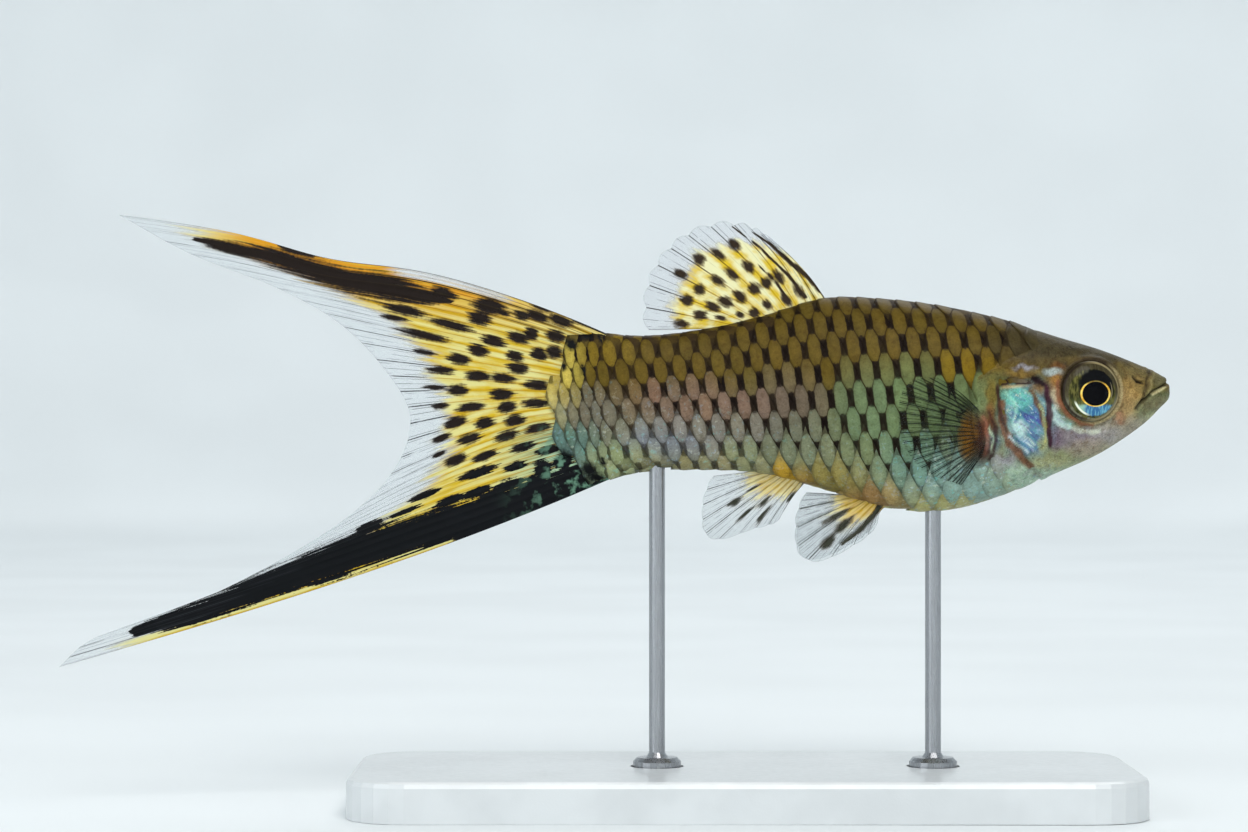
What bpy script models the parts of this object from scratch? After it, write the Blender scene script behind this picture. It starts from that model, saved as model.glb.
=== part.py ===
# Lyretail swordtail, life size and still, on a plain display stand.
# Metres, +Z up. The snout points along +X, the fish's left side is +Y, and the floor is z = 0.
import math

import bmesh
import bpy
from mathutils import Matrix, Vector

MM = 0.001

# Driving sizes, in millimetres
TOTAL_LENGTH = 111.0
AXIS_HEIGHT = 41.0
GAP = 0.3
SNOUT_X = TOTAL_LENGTH / 2

# The body's sections. Behind is the distance behind the snout. Back, belly and widest are heights from the
# axis. Side is half the width. Crown and keel say how square the upper and lower halves are: 2 is an ellipse.
SECTIONS = (
    # behind, back, belly, widest, side, crown, keel
    (0.0, 0.55, 0.05, 0.3, 0.45, 2.2, 2.2),
    (0.2, 1.3, -0.45, 0.35, 1.15, 2.2, 2.2),
    (0.9, 2.1, -1.15, 0.4, 1.85, 2.3, 2.1),
    (2.9, 3.05, -3.05, 0.5, 2.75, 2.5, 2.1),
    (6.9, 4.6, -5.7, 0.7, 4.05, 2.7, 2.1),
    (11.4, 5.95, -7.75, 0.8, 4.85, 2.6, 2.1),
    (16.4, 7.55, -9.85, 0.6, 5.45, 2.4, 2.1),
    (22.4, 8.9, -11.4, 0.2, 5.75, 2.2, 2.1),
    (28.4, 9.65, -11.15, -0.1, 5.55, 2.1, 2.0),
    (34.4, 9.75, -9.35, -0.3, 4.75, 2.0, 2.0),
    (40.4, 8.1, -7.7, -0.4, 3.75, 2.0, 2.0),
    (46.4, 6.7, -7.3, -0.6, 2.85, 2.0, 2.0),
    (52.4, 6.0, -7.55, -0.8, 2.05, 2.0, 2.0),
    (56.9, 6.45, -8.6, -0.9, 1.2, 2.0, 2.0),
    (60.4, 7.9, -10.2, -0.9, 0.6, 2.0, 2.0),
)
RINGS_PER_SECTION = 3
POINTS_AROUND = 22

# Where the head ends: the rear edge of the gill opening is a curve that bulges towards the tail
GILL_EDGE_BEHIND = 17.3
GILL_EDGE_LEVEL = 1.6
GILL_EDGE_SWEEP = 0.045
# Where the tail stalk ends, a curve that bulges into the caudal fin
ROOT_BEHIND = 59.3
ROOT_LEVEL = -0.9
ROOT_SWEEP = 0.0764
STALK_BEHIND = 46.0

EYE_BEHIND, EYE_LEVEL = 8.3, 0.3
EYE_RADIUS, EYE_DEPTH, EYE_OUT = 2.8, 1.9, 3.1

# The gill cover is a plate between that edge and a front edge that bulges the other way
GILL_COVER_TOP, GILL_COVER_FOOT = 1.3, -6.7
GILL_COVER_BEHIND, GILL_COVER_SWEEP = 11.9, 0.085
GILL_COVER_INSIDE = 2.6

# The mouth runs from the lips down and back to its corner, and the fold parts the upper lip from the head
MOUTH_LINE = ((-1.0, 2.2), (0.57, 1.0), (2.4, -0.35), (3.4, -1.5))
FOLD_TOP, FOLD_FOOT = (2.0, 6.0), (2.5, -0.3)
CHIN_BEHIND, CHIN_LEVEL = 4.5, -8.0

# Fins: half thickness of the web at the root and at the edge
WEB_AT_ROOT, WEB_AT_EDGE, RAY_RELIEF = 0.42, 0.26, 0.07

# A fan fin has a root line on the body and an edge given as reach from a focus, by angle from straight ahead.
DORSAL = dict(
    root=(34.9, 43.9), focus=(43.35, 9.1), rays=10, steps=7, bow=0.55,
    reach=((62, 7.15), (84, 7.85), (124, 8.4), (160, 8.75), (196, 9.0)),
)
ANAL = dict(
    root=(36.5, 40.3), focus=(37.85, -8.4), rays=9, steps=6, bow=0.2,
    reach=((254, 4.1), (232, 6.2), (216, 9.8), (198, 9.2), (177, 7.7)),
)
PELVIC = dict(
    root=(28.3, 31.6), focus=(28.85, -10.1), rays=8, steps=6, bow=0.35,
    reach=((262, 2.6), (240, 5.6), (221, 9.7), (200, 8.9), (176, 7.4)),
)
PECTORAL = dict(
    root=(-1.6, -6.1), focus=(18.85, -3.8), rays=11, steps=5, bow=0.25,
    reach=((133, 7.6), (150, 9.6), (173, 9.2), (198, 8.0), (228, 6.1), (242, 5.6)),
)
PELVIC_OUT, PELVIC_SPLAY = 0.95, 16.0
PECTORAL_BEHIND, PECTORAL_SPLAY = 19.5, 15.0

# The caudal fin is a lyre: its trailing edge runs from the upper sword's tip through the fork to the lower's
CAUDAL_TOP, CAUDAL_FOOT = 6.25, -8.2
CAUDAL_TRAILING = (
    (105.0, 18.1), (98.0, 14.3), (89.6, 11.0), (83.0, 7.3), (78.4, 2.6), (75.9, -2.0),
    (77.2, -6.9), (81.4, -11.5), (88.2, -16.0), (98.0, -20.9), (107.4, -24.2), (111.0, -27.1),
)
# Each ray leaves the root in a fan, between these angles, and swings part of the way back to its tip
CAUDAL_FAN_TOP, CAUDAL_FAN_FOOT, CAUDAL_SWING = 22.0, -24.5, 0.4
CAUDAL_LINES, CAUDAL_STEPS = 32, 9
CAUDAL_UPPER_LINES, CAUDAL_LOWER_LINES = 12, 19

# The stand
BASE_LENGTH, BASE_WIDTH, BASE_THICKNESS, BASE_CORNER, BASE_BEVEL = 78.0, 32.0, 4.0, 6.0, 0.6
BASE_CENTRE_X = 13.0
ROD_RADIUS, ROD_INTO_BODY = 0.8, 2.4
COLLAR_RADIUS, COLLAR_HEIGHT, COLLAR_SUNK = 2.4, 1.9, 1.0
ROD_FRONT_BEHIND, ROD_REAR_BEHIND = 23.6, 51.2
ROD_SIDES = 20

COLOURS = {
    "olive": (0.20, 0.16, 0.06), "flank": (0.30, 0.29, 0.20), "stalk": (0.33, 0.27, 0.20),
    "lip": (0.27, 0.23, 0.13), "cheek": (0.38, 0.45, 0.47), "eye": (0.01, 0.01, 0.015),
    "fin": (0.75, 0.58, 0.12), "clear_fin": (0.70, 0.72, 0.62), "sword": (0.06, 0.06, 0.05),
    "base": (0.78, 0.80, 0.80), "steel": (0.55, 0.56, 0.57),
}


def place(behind, side, level):
    """A point of the fish, from its distance behind the snout, to its left and above its axis, as metres."""
    return Vector((SNOUT_X - behind, side, AXIS_HEIGHT + level)) * MM


def smooth(points, t):
    """The point at t, from 0 to the last index, on a Catmull-Rom curve through the points."""
    last = len(points) - 1
    i = min(int(t), last - 1)
    u = t - i
    p1, p2 = points[i], points[i + 1]
    p0 = points[i - 1] if i > 0 else tuple(2 * a - b for a, b in zip(p1, p2))
    p3 = points[i + 2] if i + 2 <= last else tuple(2 * b - a for a, b in zip(p1, p2))
    return tuple(
        0.5 * (2 * b + (c - a) * u + (2 * a - 5 * b + 4 * c - d) * u * u + (3 * b - a - 3 * c + d) * u**3)
        for a, b, c, d in zip(p0, p1, p2, p3)
    )


def section_at(behind):
    """The body's section this far behind the snout, by halving the curve's parameter until it fits."""
    low, high = 0.0, len(SECTIONS) - 1.0
    for _ in range(40):
        middle = (low + high) / 2
        if smooth(SECTIONS, middle)[0] < behind:
            low = middle
        else:
            high = middle
    return smooth(SECTIONS, low)


def flank_at(behind, level):
    """Half the body's width at a place on its side."""
    _, back, belly, widest, side, crown, keel = section_at(behind)
    height, power = (back - widest, crown) if level > widest else (widest - belly, keel)
    share = min(abs(level - widest) / height, 1.0)
    return side * (1 - share**power) ** (1 / power)


def gill_edge(level):
    return GILL_EDGE_BEHIND - GILL_EDGE_SWEEP * (level - GILL_EDGE_LEVEL) ** 2


def root_edge(level):
    return ROOT_BEHIND - ROOT_SWEEP * (level - ROOT_LEVEL) ** 2


def link(name, bm, colour=None, rough=0.5, metal=0.0, at=(0, 0, 0)):
    """Makes a named object of a bmesh. With no colour it is a cutter, which a render doesn't show."""
    bmesh.ops.recalc_face_normals(bm, faces=bm.faces)
    mesh = bpy.data.meshes.new(name)
    bm.to_mesh(mesh)
    bm.free()
    obj = bpy.data.objects.new(name, mesh)
    obj.location = at
    bpy.context.scene.collection.objects.link(obj)
    if colour is None:
        obj.hide_render = True
        obj.display_type = "WIRE"
    else:
        show(obj, colour, rough, metal)
    return obj


def show(obj, colour, rough, metal):
    """Makes an object a part of the model, with its own material."""
    obj.hide_render = False
    obj.display_type = "TEXTURED"
    material = bpy.data.materials.new(obj.name)
    material.use_nodes = True
    shader = material.node_tree.nodes["Principled BSDF"]
    shader.inputs["Base Color"].default_value = (*COLOURS[colour], 1)
    shader.inputs["Roughness"].default_value = rough
    shader.inputs["Metallic"].default_value = metal
    obj.data.materials.append(material)
    obj.data.shade_smooth()
    obj.data.set_sharp_from_angle(angle=math.radians(35))


def boolean(obj, operation, cutter):
    modifier = obj.modifiers.new(operation.title(), "BOOLEAN")
    modifier.operation = operation
    modifier.object = cutter


def body_form(name):
    """The whole body, snout to tail root, as rings that are bridged one to the next."""
    bm = bmesh.new()
    rings = []
    last = len(SECTIONS) - 1
    for step in range(last * RINGS_PER_SECTION + 1):
        behind, back, belly, widest, side, crown, keel = smooth(SECTIONS, step / RINGS_PER_SECTION)
        ring = []
        for k in range(POINTS_AROUND):
            turn = 2 * math.pi * k / POINTS_AROUND
            c, s = math.cos(turn), math.sin(turn)
            power = crown if s > 0 else keel
            height = back - widest if s > 0 else widest - belly
            out = math.copysign(abs(c) ** (2 / power), c) * side
            up = math.copysign(abs(s) ** (2 / power), s) * height
            ring.append(bm.verts.new(place(behind, out, widest + up)))
        rings.append([bm.edges.new((ring[k], ring[k - 1])) for k in range(POINTS_AROUND)])
    for fore, aft in zip(rings, rings[1:]):
        bmesh.ops.bridge_loops(bm, edges=fore + aft)
    bmesh.ops.holes_fill(bm, edges=rings[0] + rings[-1])
    return link(name, bm)


def prism(name, outline, low=-20.0, high=20.0):
    """A cutter: an outline of (behind, level) points, from low to high across the fish."""
    bm = bmesh.new()
    face = bm.faces.new([bm.verts.new(place(behind, low, level)) for behind, level in outline])
    made = bmesh.ops.extrude_face_region(bm, geom=[face])
    verts = [v for v in made["geom"] if isinstance(v, bmesh.types.BMVert)]
    bmesh.ops.translate(bm, verts=verts, vec=Vector((0, (high - low) * MM, 0)))
    return link(name, bm)


def shifted(points, back, up):
    return [(behind + back, level + up) for behind, level in points]


def curve_down(edge, back, top=14.0, foot=-14.0, steps=16):
    """Points down one of the cross curves, moved back by some millimetres."""
    levels = [top + (foot - top) * k / steps for k in range(steps + 1)]
    return [(edge(level) + back, level) for level in levels]


def part_of_body(name, outline, colour, rough=0.45):
    """The body form inside an outline, as a named part."""
    obj = body_form(name)
    show(obj, colour, rough, 0.0)
    boolean(obj, "INTERSECT", prism(name + "_region", outline))
    return obj


def eyeball(grow=0.0):
    """A sphere flattened across the fish, as a lens is."""
    bm = bmesh.new()
    radius, depth = EYE_RADIUS + grow, EYE_DEPTH + grow
    bmesh.ops.create_uvsphere(bm, u_segments=20, v_segments=12, radius=radius * MM)
    turn = Matrix.Rotation(math.pi / 2, 4, "X")
    squeeze = Matrix.Diagonal((1, depth / radius, 1, 1))
    bmesh.ops.transform(bm, matrix=squeeze @ turn, verts=bm.verts)
    return bm


def gill_outline(grow, rear):
    """The gill cover seen from the side, grown forward, up and down, with its rear edge moved back."""
    top, foot = GILL_COVER_TOP + grow, GILL_COVER_FOOT - grow
    middle = (top + foot) / 2

    def front_edge(level):
        return GILL_COVER_BEHIND + GILL_COVER_SWEEP * (level - middle) ** 2

    down = curve_down(gill_edge, rear, top, foot, 10)
    return down + list(reversed(curve_down(front_edge, -grow, top, foot, 10)))


def head_and_jaws():
    """The jaws lie before the mouth's line and the fold, and the head runs from there to the gill opening."""
    half = GAP / 2
    upper = shifted(MOUTH_LINE[:2], 0, half) + [(FOLD_FOOT[0] - half, FOLD_FOOT[1] + half)]
    upper += [(FOLD_TOP[0] - half, FOLD_TOP[1]), (-1.0, FOLD_TOP[1])]
    part_of_body("upper_jaw", upper, "lip")
    lower = shifted(MOUTH_LINE, 0, -half) + [(CHIN_BEHIND, CHIN_LEVEL), (-1.0, CHIN_LEVEL)]
    part_of_body("lower_jaw", lower, "lip")
    corner = MOUTH_LINE[-1]
    face = [(FOLD_TOP[0] + half, 14.0), (FOLD_TOP[0] + half, FOLD_TOP[1])]
    face += [(FOLD_FOOT[0] + half, FOLD_FOOT[1]), (corner[0] + GAP, corner[1])]
    face += [(CHIN_BEHIND + GAP, CHIN_LEVEL), (CHIN_BEHIND + GAP, -14.0)]
    rear = [point for point in reversed(curve_down(gill_edge, -half)) if point[0] > CHIN_BEHIND + 1]
    head = part_of_body("head", face + rear, "olive")
    for side, sign in (("left", 1), ("right", -1)):
        eye_and_socket(head, side, sign)
        gill_cover_and_slot(head, side, sign)


def eye_and_socket(head, side, sign):
    centre = place(EYE_BEHIND, sign * EYE_OUT, EYE_LEVEL)
    link("eye_" + side, eyeball(), "eye", 0.08, at=centre)
    boolean(head, "DIFFERENCE", link("eye_socket_" + side, eyeball(GAP), at=centre))


def gill_cover_and_slot(head, side, sign):
    outside = 20.0 * sign
    slot = sorted((sign * (GILL_COVER_INSIDE - GAP), outside))
    boolean(head, "DIFFERENCE", prism("gill_slot_" + side, gill_outline(GAP, 1.0), *slot))
    plate = sorted((sign * GILL_COVER_INSIDE, outside))
    cover = body_form("gill_cover_" + side)
    show(cover, "cheek", 0.3, 0.2)
    boolean(cover, "INTERSECT", prism("gill_region_" + side, gill_outline(0, -GAP / 2), *plate))


def trunk_and_stalk():
    half = GAP / 2
    front = [point for point in curve_down(gill_edge, half) if point[0] > CHIN_BEHIND + 1]
    back = [(STALK_BEHIND - half, -14.0), (STALK_BEHIND - half, 14.0)]
    trunk = part_of_body("trunk", front + back, "flank")
    front = [(STALK_BEHIND + half, 10.0), (STALK_BEHIND + half, -12.0)]
    back = list(reversed(curve_down(root_edge, 0, 10.0, -12.0)))
    stalk = part_of_body("tail_stalk", front + back, "stalk")
    return trunk, stalk


def flat(point):
    """Puts a fin's sheet on the fish's middle plane."""
    return place(*point)


def slab(name, grid, half_web, colour, lay):
    """A closed sheet over a grid of (behind, level) points, thick by half_web(i, j) to each side."""
    bm = bmesh.new()
    sides = []
    for sign in (1, -1):
        sides.append([
            [bm.verts.new(lay(Vector((behind, sign * half_web(i, j), level)))) for j, (behind, level) in row]
            for i, row in enumerate(list(enumerate(line)) for line in grid)
        ])
    rows, columns = len(grid), len(grid[0])
    for side in sides:
        for i in range(rows - 1):
            for j in range(columns - 1):
                bm.faces.new((side[i][j], side[i + 1][j], side[i + 1][j + 1], side[i][j + 1]))
    left, right = sides
    rim = [(i, 0) for i in range(rows)] + [(rows - 1, j) for j in range(1, columns)]
    rim += [(i, columns - 1) for i in range(rows - 2, -1, -1)] + [(0, j) for j in range(columns - 2, 0, -1)]
    for (i, j), (p, q) in zip(rim, rim[1:] + rim[:1]):
        bm.faces.new((left[i][j], left[p][q], right[p][q], right[i][j]))
    return link(name, bm, colour, 0.4)


def web(steps):
    """Half thickness over a fin: thinner to the edge, with each second line of the grid raised as a ray."""
    def half(i, j):
        share = j / steps
        relief = RAY_RELIEF if i % 2 == 0 else 0.0
        return WEB_AT_ROOT * (1 - share) + WEB_AT_EDGE * share + relief * (1 - 0.6 * share)
    return half


def fan_grid(fin, root_point):
    """The grid of a fan fin: rays run from the root line to the edge, and bow forward on the way."""
    grid = []
    lines = 2 * fin["rays"] - 1
    for i in range(lines):
        share = i / (lines - 1)
        root = Vector(root_point(share))
        angle, reach = smooth(fin["reach"], share * (len(fin["reach"]) - 1))
        if i % 2:
            reach -= 0.14
        turn = math.radians(angle)
        tip = Vector((fin["focus"][0] - reach * math.cos(turn), fin["focus"][1] + reach * math.sin(turn)))
        run = tip - root
        across = Vector((-run.y, run.x)) * (1 if math.sin(turn) > 0 else -1)
        grid.append([
            tuple(root + run * (j / fin["steps"])
                  + across.normalized() * fin["bow"] * math.sin(math.pi * j / fin["steps"]) * (1 - share))
            for j in range(fin["steps"] + 1)
        ])
    return grid


def median_fins():
    def on_back(share):
        behind = DORSAL["root"][0] + (DORSAL["root"][1] - DORSAL["root"][0]) * share
        return behind, section_at(behind)[1] + GAP

    def on_belly(share):
        behind = ANAL["root"][0] + (ANAL["root"][1] - ANAL["root"][0]) * share
        return behind, section_at(behind)[2] - GAP

    slab("dorsal_fin", fan_grid(DORSAL, on_back), web(DORSAL["steps"]), "fin", flat)
    slab("anal_fin", fan_grid(ANAL, on_belly), web(ANAL["steps"]), "clear_fin", flat)


def paired_fins():
    def under_belly(share):
        behind = PELVIC["root"][0] + (PELVIC["root"][1] - PELVIC["root"][0]) * share
        return behind, section_at(behind)[2] - GAP

    def on_flank(share):
        level = PECTORAL["root"][0] + (PECTORAL["root"][1] - PECTORAL["root"][0]) * share
        return PECTORAL_BEHIND - 0.5 * math.sin(math.pi * share), level

    hinge = PELVIC["root"][0], section_at(PELVIC["root"][0])[2] - GAP
    shoulder = max(flank_at(PECTORAL_BEHIND, level) for level in (-1.6, -3.8)) + GAP + WEB_AT_ROOT + 0.1
    for side, sign in (("left", 1), ("right", -1)):
        def splayed(point, sign=sign):
            drop = hinge[1] - point.z
            lean = math.radians(PELVIC_SPLAY)
            out = PELVIC_OUT + drop * math.sin(lean) + point.y
            return place(point.x, sign * out, hinge[1] - drop * math.cos(lean))

        def held_back(point, sign=sign):
            along = point.x - PECTORAL_BEHIND + 0.5
            lean = math.radians(PECTORAL_SPLAY)
            out = shoulder + along * math.sin(lean) + point.y
            return place(PECTORAL_BEHIND - 0.5 + along * math.cos(lean), sign * out, point.z)

        slab("pelvic_fin_" + side, fan_grid(PELVIC, under_belly),
             web(PELVIC["steps"]), "clear_fin", splayed)
        slab("pectoral_fin_" + side, fan_grid(PECTORAL, on_flank),
             web(PECTORAL["steps"]), "clear_fin", held_back)


def caudal_ray(share):
    """One ray of the lyre, as a curve that leaves the root in a fan and then swings along its lobe."""
    level = CAUDAL_TOP + (CAUDAL_FOOT - CAUDAL_TOP) * share
    root = Vector((root_edge(level) + GAP, level))
    tip = Vector(smooth(CAUDAL_TRAILING, share * (len(CAUDAL_TRAILING) - 1)))
    run = tip - root
    chord = math.atan2(run.y, run.x)
    leave = math.radians(CAUDAL_FAN_TOP + (CAUDAL_FAN_FOOT - CAUDAL_FAN_TOP) * share)
    arrive = chord + CAUDAL_SWING * (chord - leave)
    near = root + Vector((math.cos(leave), math.sin(leave))) * run.length * 0.33
    far = tip - Vector((math.cos(arrive), math.sin(arrive))) * run.length * 0.33
    points = []
    for j in range(CAUDAL_STEPS + 1):
        t = j / CAUDAL_STEPS
        u = 1 - t
        points.append(tuple(root * u**3 + near * 3 * u * u * t + far * 3 * u * t * t + tip * t**3))
    return points


def caudal_fin():
    """The upper sword, the fan between and the lower sword share the rays, with a thin cut between them."""
    lobes = (
        ("caudal_upper_lobe", 0, CAUDAL_UPPER_LINES, "sword"),
        ("caudal_fan", CAUDAL_UPPER_LINES, CAUDAL_LOWER_LINES, "fin"),
        ("caudal_lower_lobe", CAUDAL_LOWER_LINES, CAUDAL_LINES, "sword"),
    )
    for name, first, last, colour in lobes:
        grid = [caudal_ray(k / CAUDAL_LINES) for k in range(first, last + 1)]
        if first > 0:
            grid[0] = parted(grid[0], grid[1])
        if last < CAUDAL_LINES:
            grid[-1] = parted(grid[-1], grid[-2])
        slab(name, grid, web(CAUDAL_STEPS), colour, flat)


def parted(edge, inner):
    """A lobe's edge drawn back towards its next ray by half of the cut."""
    drawn = []
    for p, q in zip(edge, inner):
        p, q = Vector(p), Vector(q)
        drawn.append(tuple(p + (q - p).normalized() * min(GAP / 2, (q - p).length * 0.6)))
    return drawn


def turned(name, profile, centre, colour=None):
    """A round piece from (radius, height) points, spun about an upright axis."""
    bm = bmesh.new()
    verts = [bm.verts.new(Vector((radius, 0, height)) * MM) for radius, height in profile]
    edges = [bm.edges.new(pair) for pair in zip(verts, verts[1:])]
    bmesh.ops.spin(bm, geom=verts + edges, cent=(0, 0, 0), axis=(0, 0, 1), angle=2 * math.pi,
                   steps=ROD_SIDES, use_duplicate=False)
    bmesh.ops.remove_doubles(bm, verts=bm.verts, dist=0.00001)
    return link(name, bm, colour, 0.3, 1.0, at=centre)


def stand_base():
    bm = bmesh.new()
    bmesh.ops.create_cube(bm, size=1)
    size = Matrix.Diagonal((BASE_LENGTH * MM, BASE_WIDTH * MM, BASE_THICKNESS * MM, 1))
    bmesh.ops.transform(bm, matrix=size, verts=bm.verts)
    upright = [e for e in bm.edges if abs(e.verts[0].co.z - e.verts[1].co.z) > MM]
    bmesh.ops.bevel(bm, geom=upright, offset=BASE_CORNER * MM, segments=6, profile=0.5, affect="EDGES")
    top = [e for e in bm.edges if min(v.co.z for v in e.verts) > (BASE_THICKNESS / 2 - 0.01) * MM]
    bmesh.ops.bevel(bm, geom=top, offset=BASE_BEVEL * MM, segments=2, profile=0.5, affect="EDGES")
    return link("stand_base", bm, "base", 0.4, at=Vector((BASE_CENTRE_X, 0, BASE_THICKNESS / 2)) * MM)


def stand_rod(name, behind, base, holder):
    """A rod from a sunk collar in the base up into a blind socket in the fish."""
    centre = Vector((SNOUT_X - behind, 0, 0)) * MM
    sunk = BASE_THICKNESS - COLLAR_SUNK
    rim = sunk + COLLAR_HEIGHT
    belly = AXIS_HEIGHT + section_at(behind)[2]
    top = belly + ROD_INTO_BODY
    rod = (
        (0, sunk), (COLLAR_RADIUS, sunk), (COLLAR_RADIUS, rim - 0.4), (COLLAR_RADIUS - 0.4, rim),
        (ROD_RADIUS + 0.3, rim), (ROD_RADIUS, rim + 0.5), (ROD_RADIUS, top - 0.3),
        (ROD_RADIUS - 0.3, top), (0, top),
    )
    turned("stand_rod_" + name, rod, centre, "steel")
    wide = COLLAR_RADIUS + GAP
    recess = ((0, sunk - GAP), (wide, sunk - GAP), (wide, sunk + 5), (0, sunk + 5))
    boolean(base, "DIFFERENCE", turned("rod_recess_" + name, recess, centre))
    wide = ROD_RADIUS + GAP
    socket = ((0, belly - 3), (wide, belly - 3), (wide, top + GAP), (0, top + GAP))
    boolean(holder, "DIFFERENCE", turned("rod_socket_" + name, socket, centre))


def main():
    for obj in list(bpy.data.objects):
        bpy.data.objects.remove(obj)
    head_and_jaws()
    trunk, stalk = trunk_and_stalk()
    median_fins()
    paired_fins()
    caudal_fin()
    base = stand_base()
    stand_rod("front", ROD_FRONT_BEHIND, base, trunk)
    stand_rod("rear", ROD_REAR_BEHIND, base, stalk)


main()
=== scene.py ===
import math

import bpy
import numpy as np
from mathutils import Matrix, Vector


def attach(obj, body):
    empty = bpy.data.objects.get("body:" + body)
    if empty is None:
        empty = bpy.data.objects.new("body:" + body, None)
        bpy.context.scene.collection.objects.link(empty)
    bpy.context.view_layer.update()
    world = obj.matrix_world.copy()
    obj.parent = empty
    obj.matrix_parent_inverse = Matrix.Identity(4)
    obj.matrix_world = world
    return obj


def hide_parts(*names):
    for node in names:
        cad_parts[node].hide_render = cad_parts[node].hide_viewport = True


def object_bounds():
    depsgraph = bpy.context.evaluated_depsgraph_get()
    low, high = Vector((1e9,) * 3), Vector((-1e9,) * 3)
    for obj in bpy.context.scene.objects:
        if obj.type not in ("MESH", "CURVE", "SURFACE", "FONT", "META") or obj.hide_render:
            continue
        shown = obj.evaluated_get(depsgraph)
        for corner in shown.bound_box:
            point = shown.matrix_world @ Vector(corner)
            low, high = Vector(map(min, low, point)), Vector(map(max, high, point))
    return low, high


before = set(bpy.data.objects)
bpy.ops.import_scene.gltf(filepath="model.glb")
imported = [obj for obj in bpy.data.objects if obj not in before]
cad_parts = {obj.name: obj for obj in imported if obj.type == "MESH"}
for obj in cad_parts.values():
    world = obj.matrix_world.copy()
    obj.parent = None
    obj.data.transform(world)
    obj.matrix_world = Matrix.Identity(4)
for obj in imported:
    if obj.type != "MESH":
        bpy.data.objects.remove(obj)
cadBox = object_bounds()
mm = 0.001
hands = (("left", 1), ("right", -1))  # the fish's sides, and the sign of y on each

# The fish is measured in millimetres: behind its snout, to its left and above its axis
fish = dict(
    snoutX=cadBox[1].x / mm,
    axisHeight=41.0,
    sections=(  # behind, back, belly, widest, side, crown, keel
        (0.0, 0.55, 0.05, 0.3, 0.45, 2.2, 2.2),
        (0.2, 1.3, -0.45, 0.35, 1.15, 2.2, 2.2),
        (0.9, 2.1, -1.15, 0.4, 1.85, 2.3, 2.1),
        (2.9, 3.05, -3.05, 0.5, 2.75, 2.5, 2.1),
        (6.9, 4.6, -5.7, 0.7, 4.05, 2.7, 2.1),
        (11.4, 5.95, -7.75, 0.8, 4.85, 2.6, 2.1),
        (16.4, 7.55, -9.85, 0.6, 5.45, 2.4, 2.1),
        (22.4, 8.9, -11.4, 0.2, 5.75, 2.2, 2.1),
        (28.4, 9.65, -11.15, -0.1, 5.55, 2.1, 2.0),
        (34.4, 9.75, -9.35, -0.3, 4.75, 2.0, 2.0),
        (40.4, 8.1, -7.7, -0.4, 3.75, 2.0, 2.0),
        (46.4, 6.7, -7.3, -0.6, 2.85, 2.0, 2.0),
        (52.4, 6.0, -7.55, -0.8, 2.05, 2.0, 2.0),
        (56.9, 6.45, -8.6, -0.9, 1.2, 2.0, 2.0),
        (60.4, 7.9, -10.2, -0.9, 0.6, 2.0, 2.0),
        (64.4, 9.9, -12.2, -0.9, 0.12, 2.0, 2.0),
    ),
    gillEdge=(17.3, 1.6, 0.045),  # behind, level and sweep of the gill opening's rear edge
    rootEdge=(59.3, -0.9, 0.0764),  # the same for the edge where the caudal fin starts
    scaleLine=(22.4, 0.4, -0.0625),  # a row of scales starts here: behind, level, slope
)


def place(behind, side, level):
    return np.stack(np.broadcast_arrays(fish["snoutX"] - behind, side, fish["axisHeight"] + level), -1) * mm


def curveThrough(points, steps):  # a smooth curve through the points, as evenly many steps between each two
    p = np.array(points, float)
    p = np.vstack([2 * p[0] - p[1], p, 2 * p[-1] - p[-2]])
    t = np.linspace(0, len(points) - 1, steps)
    i = np.minimum(t.astype(int), len(points) - 2)
    u = (t - i)[:, None]
    a, b, c, d = p[i], p[i + 1], p[i + 2], p[i + 3]
    return 0.5 * (2 * b + (c - a) * u + (2 * a - 5 * b + 4 * c - d) * u**2 + (3 * b - a - 3 * c + d) * u**3)


def ease(low, high, value):  # 0 below low, 1 above high, smooth between; the other way round if low is higher
    t = np.clip((value - low) / (high - low), 0, 1)
    return t * t * (3 - 2 * t)


def bump(value, width):
    return np.exp(-((value / width) ** 2))


def unit(vectors):
    return vectors / np.maximum(np.linalg.norm(vectors, axis=-1, keepdims=True), 1e-12)


def crossEdge(name, level):
    behind, middle, sweep = fish[name]
    return behind - sweep * (level - middle) ** 2


def wander(x, y, size, seed, waves=7):  # a soft irregular ripple of about -1 to 1
    pick = np.random.default_rng(seed)
    total = 0
    for _ in range(waves):
        turn, pace, start = pick.uniform(0, 6.283), pick.uniform(0.6, 1.7), pick.uniform(0, 6.283)
        total = total + np.sin(pace * (x * math.cos(turn) + y * math.sin(turn)) / size * 3.0 + start)
    return total / math.sqrt(waves)


def alongPath(x, y, path):  # the distance to a path, and how far along it the nearest place is, from 0 to 1
    best, share = np.full(np.shape(x), 1e9), np.zeros(np.shape(x))
    pieces = len(path) - 1
    for k, (start, end) in enumerate(zip(path, path[1:])):
        dx, dy = end[0] - start[0], end[1] - start[1]
        t = np.clip(((x - start[0]) * dx + (y - start[1]) * dy) / (dx * dx + dy * dy), 0, 1)
        gap = np.hypot(x - start[0] - t * dx, y - start[1] - t * dy)
        near = gap < best
        best, share = np.where(near, gap, best), np.where(near, (k + t) / pieces, share)
    return best, share


def linear(red, green, blue):  # a colour as a screen gives it, 0 to 255, to the shader's own values
    values = np.array((red, green, blue)) / 255
    return np.where(values < 0.04045, values / 12.92, ((values + 0.055) / 1.055) ** 2.4)


# The body's form

sectionTable = curveThrough(fish["sections"], 3001)


def sectionAt(behind):
    return [np.interp(behind, sectionTable[:, 0], sectionTable[:, k]) for k in range(1, 7)]


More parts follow.
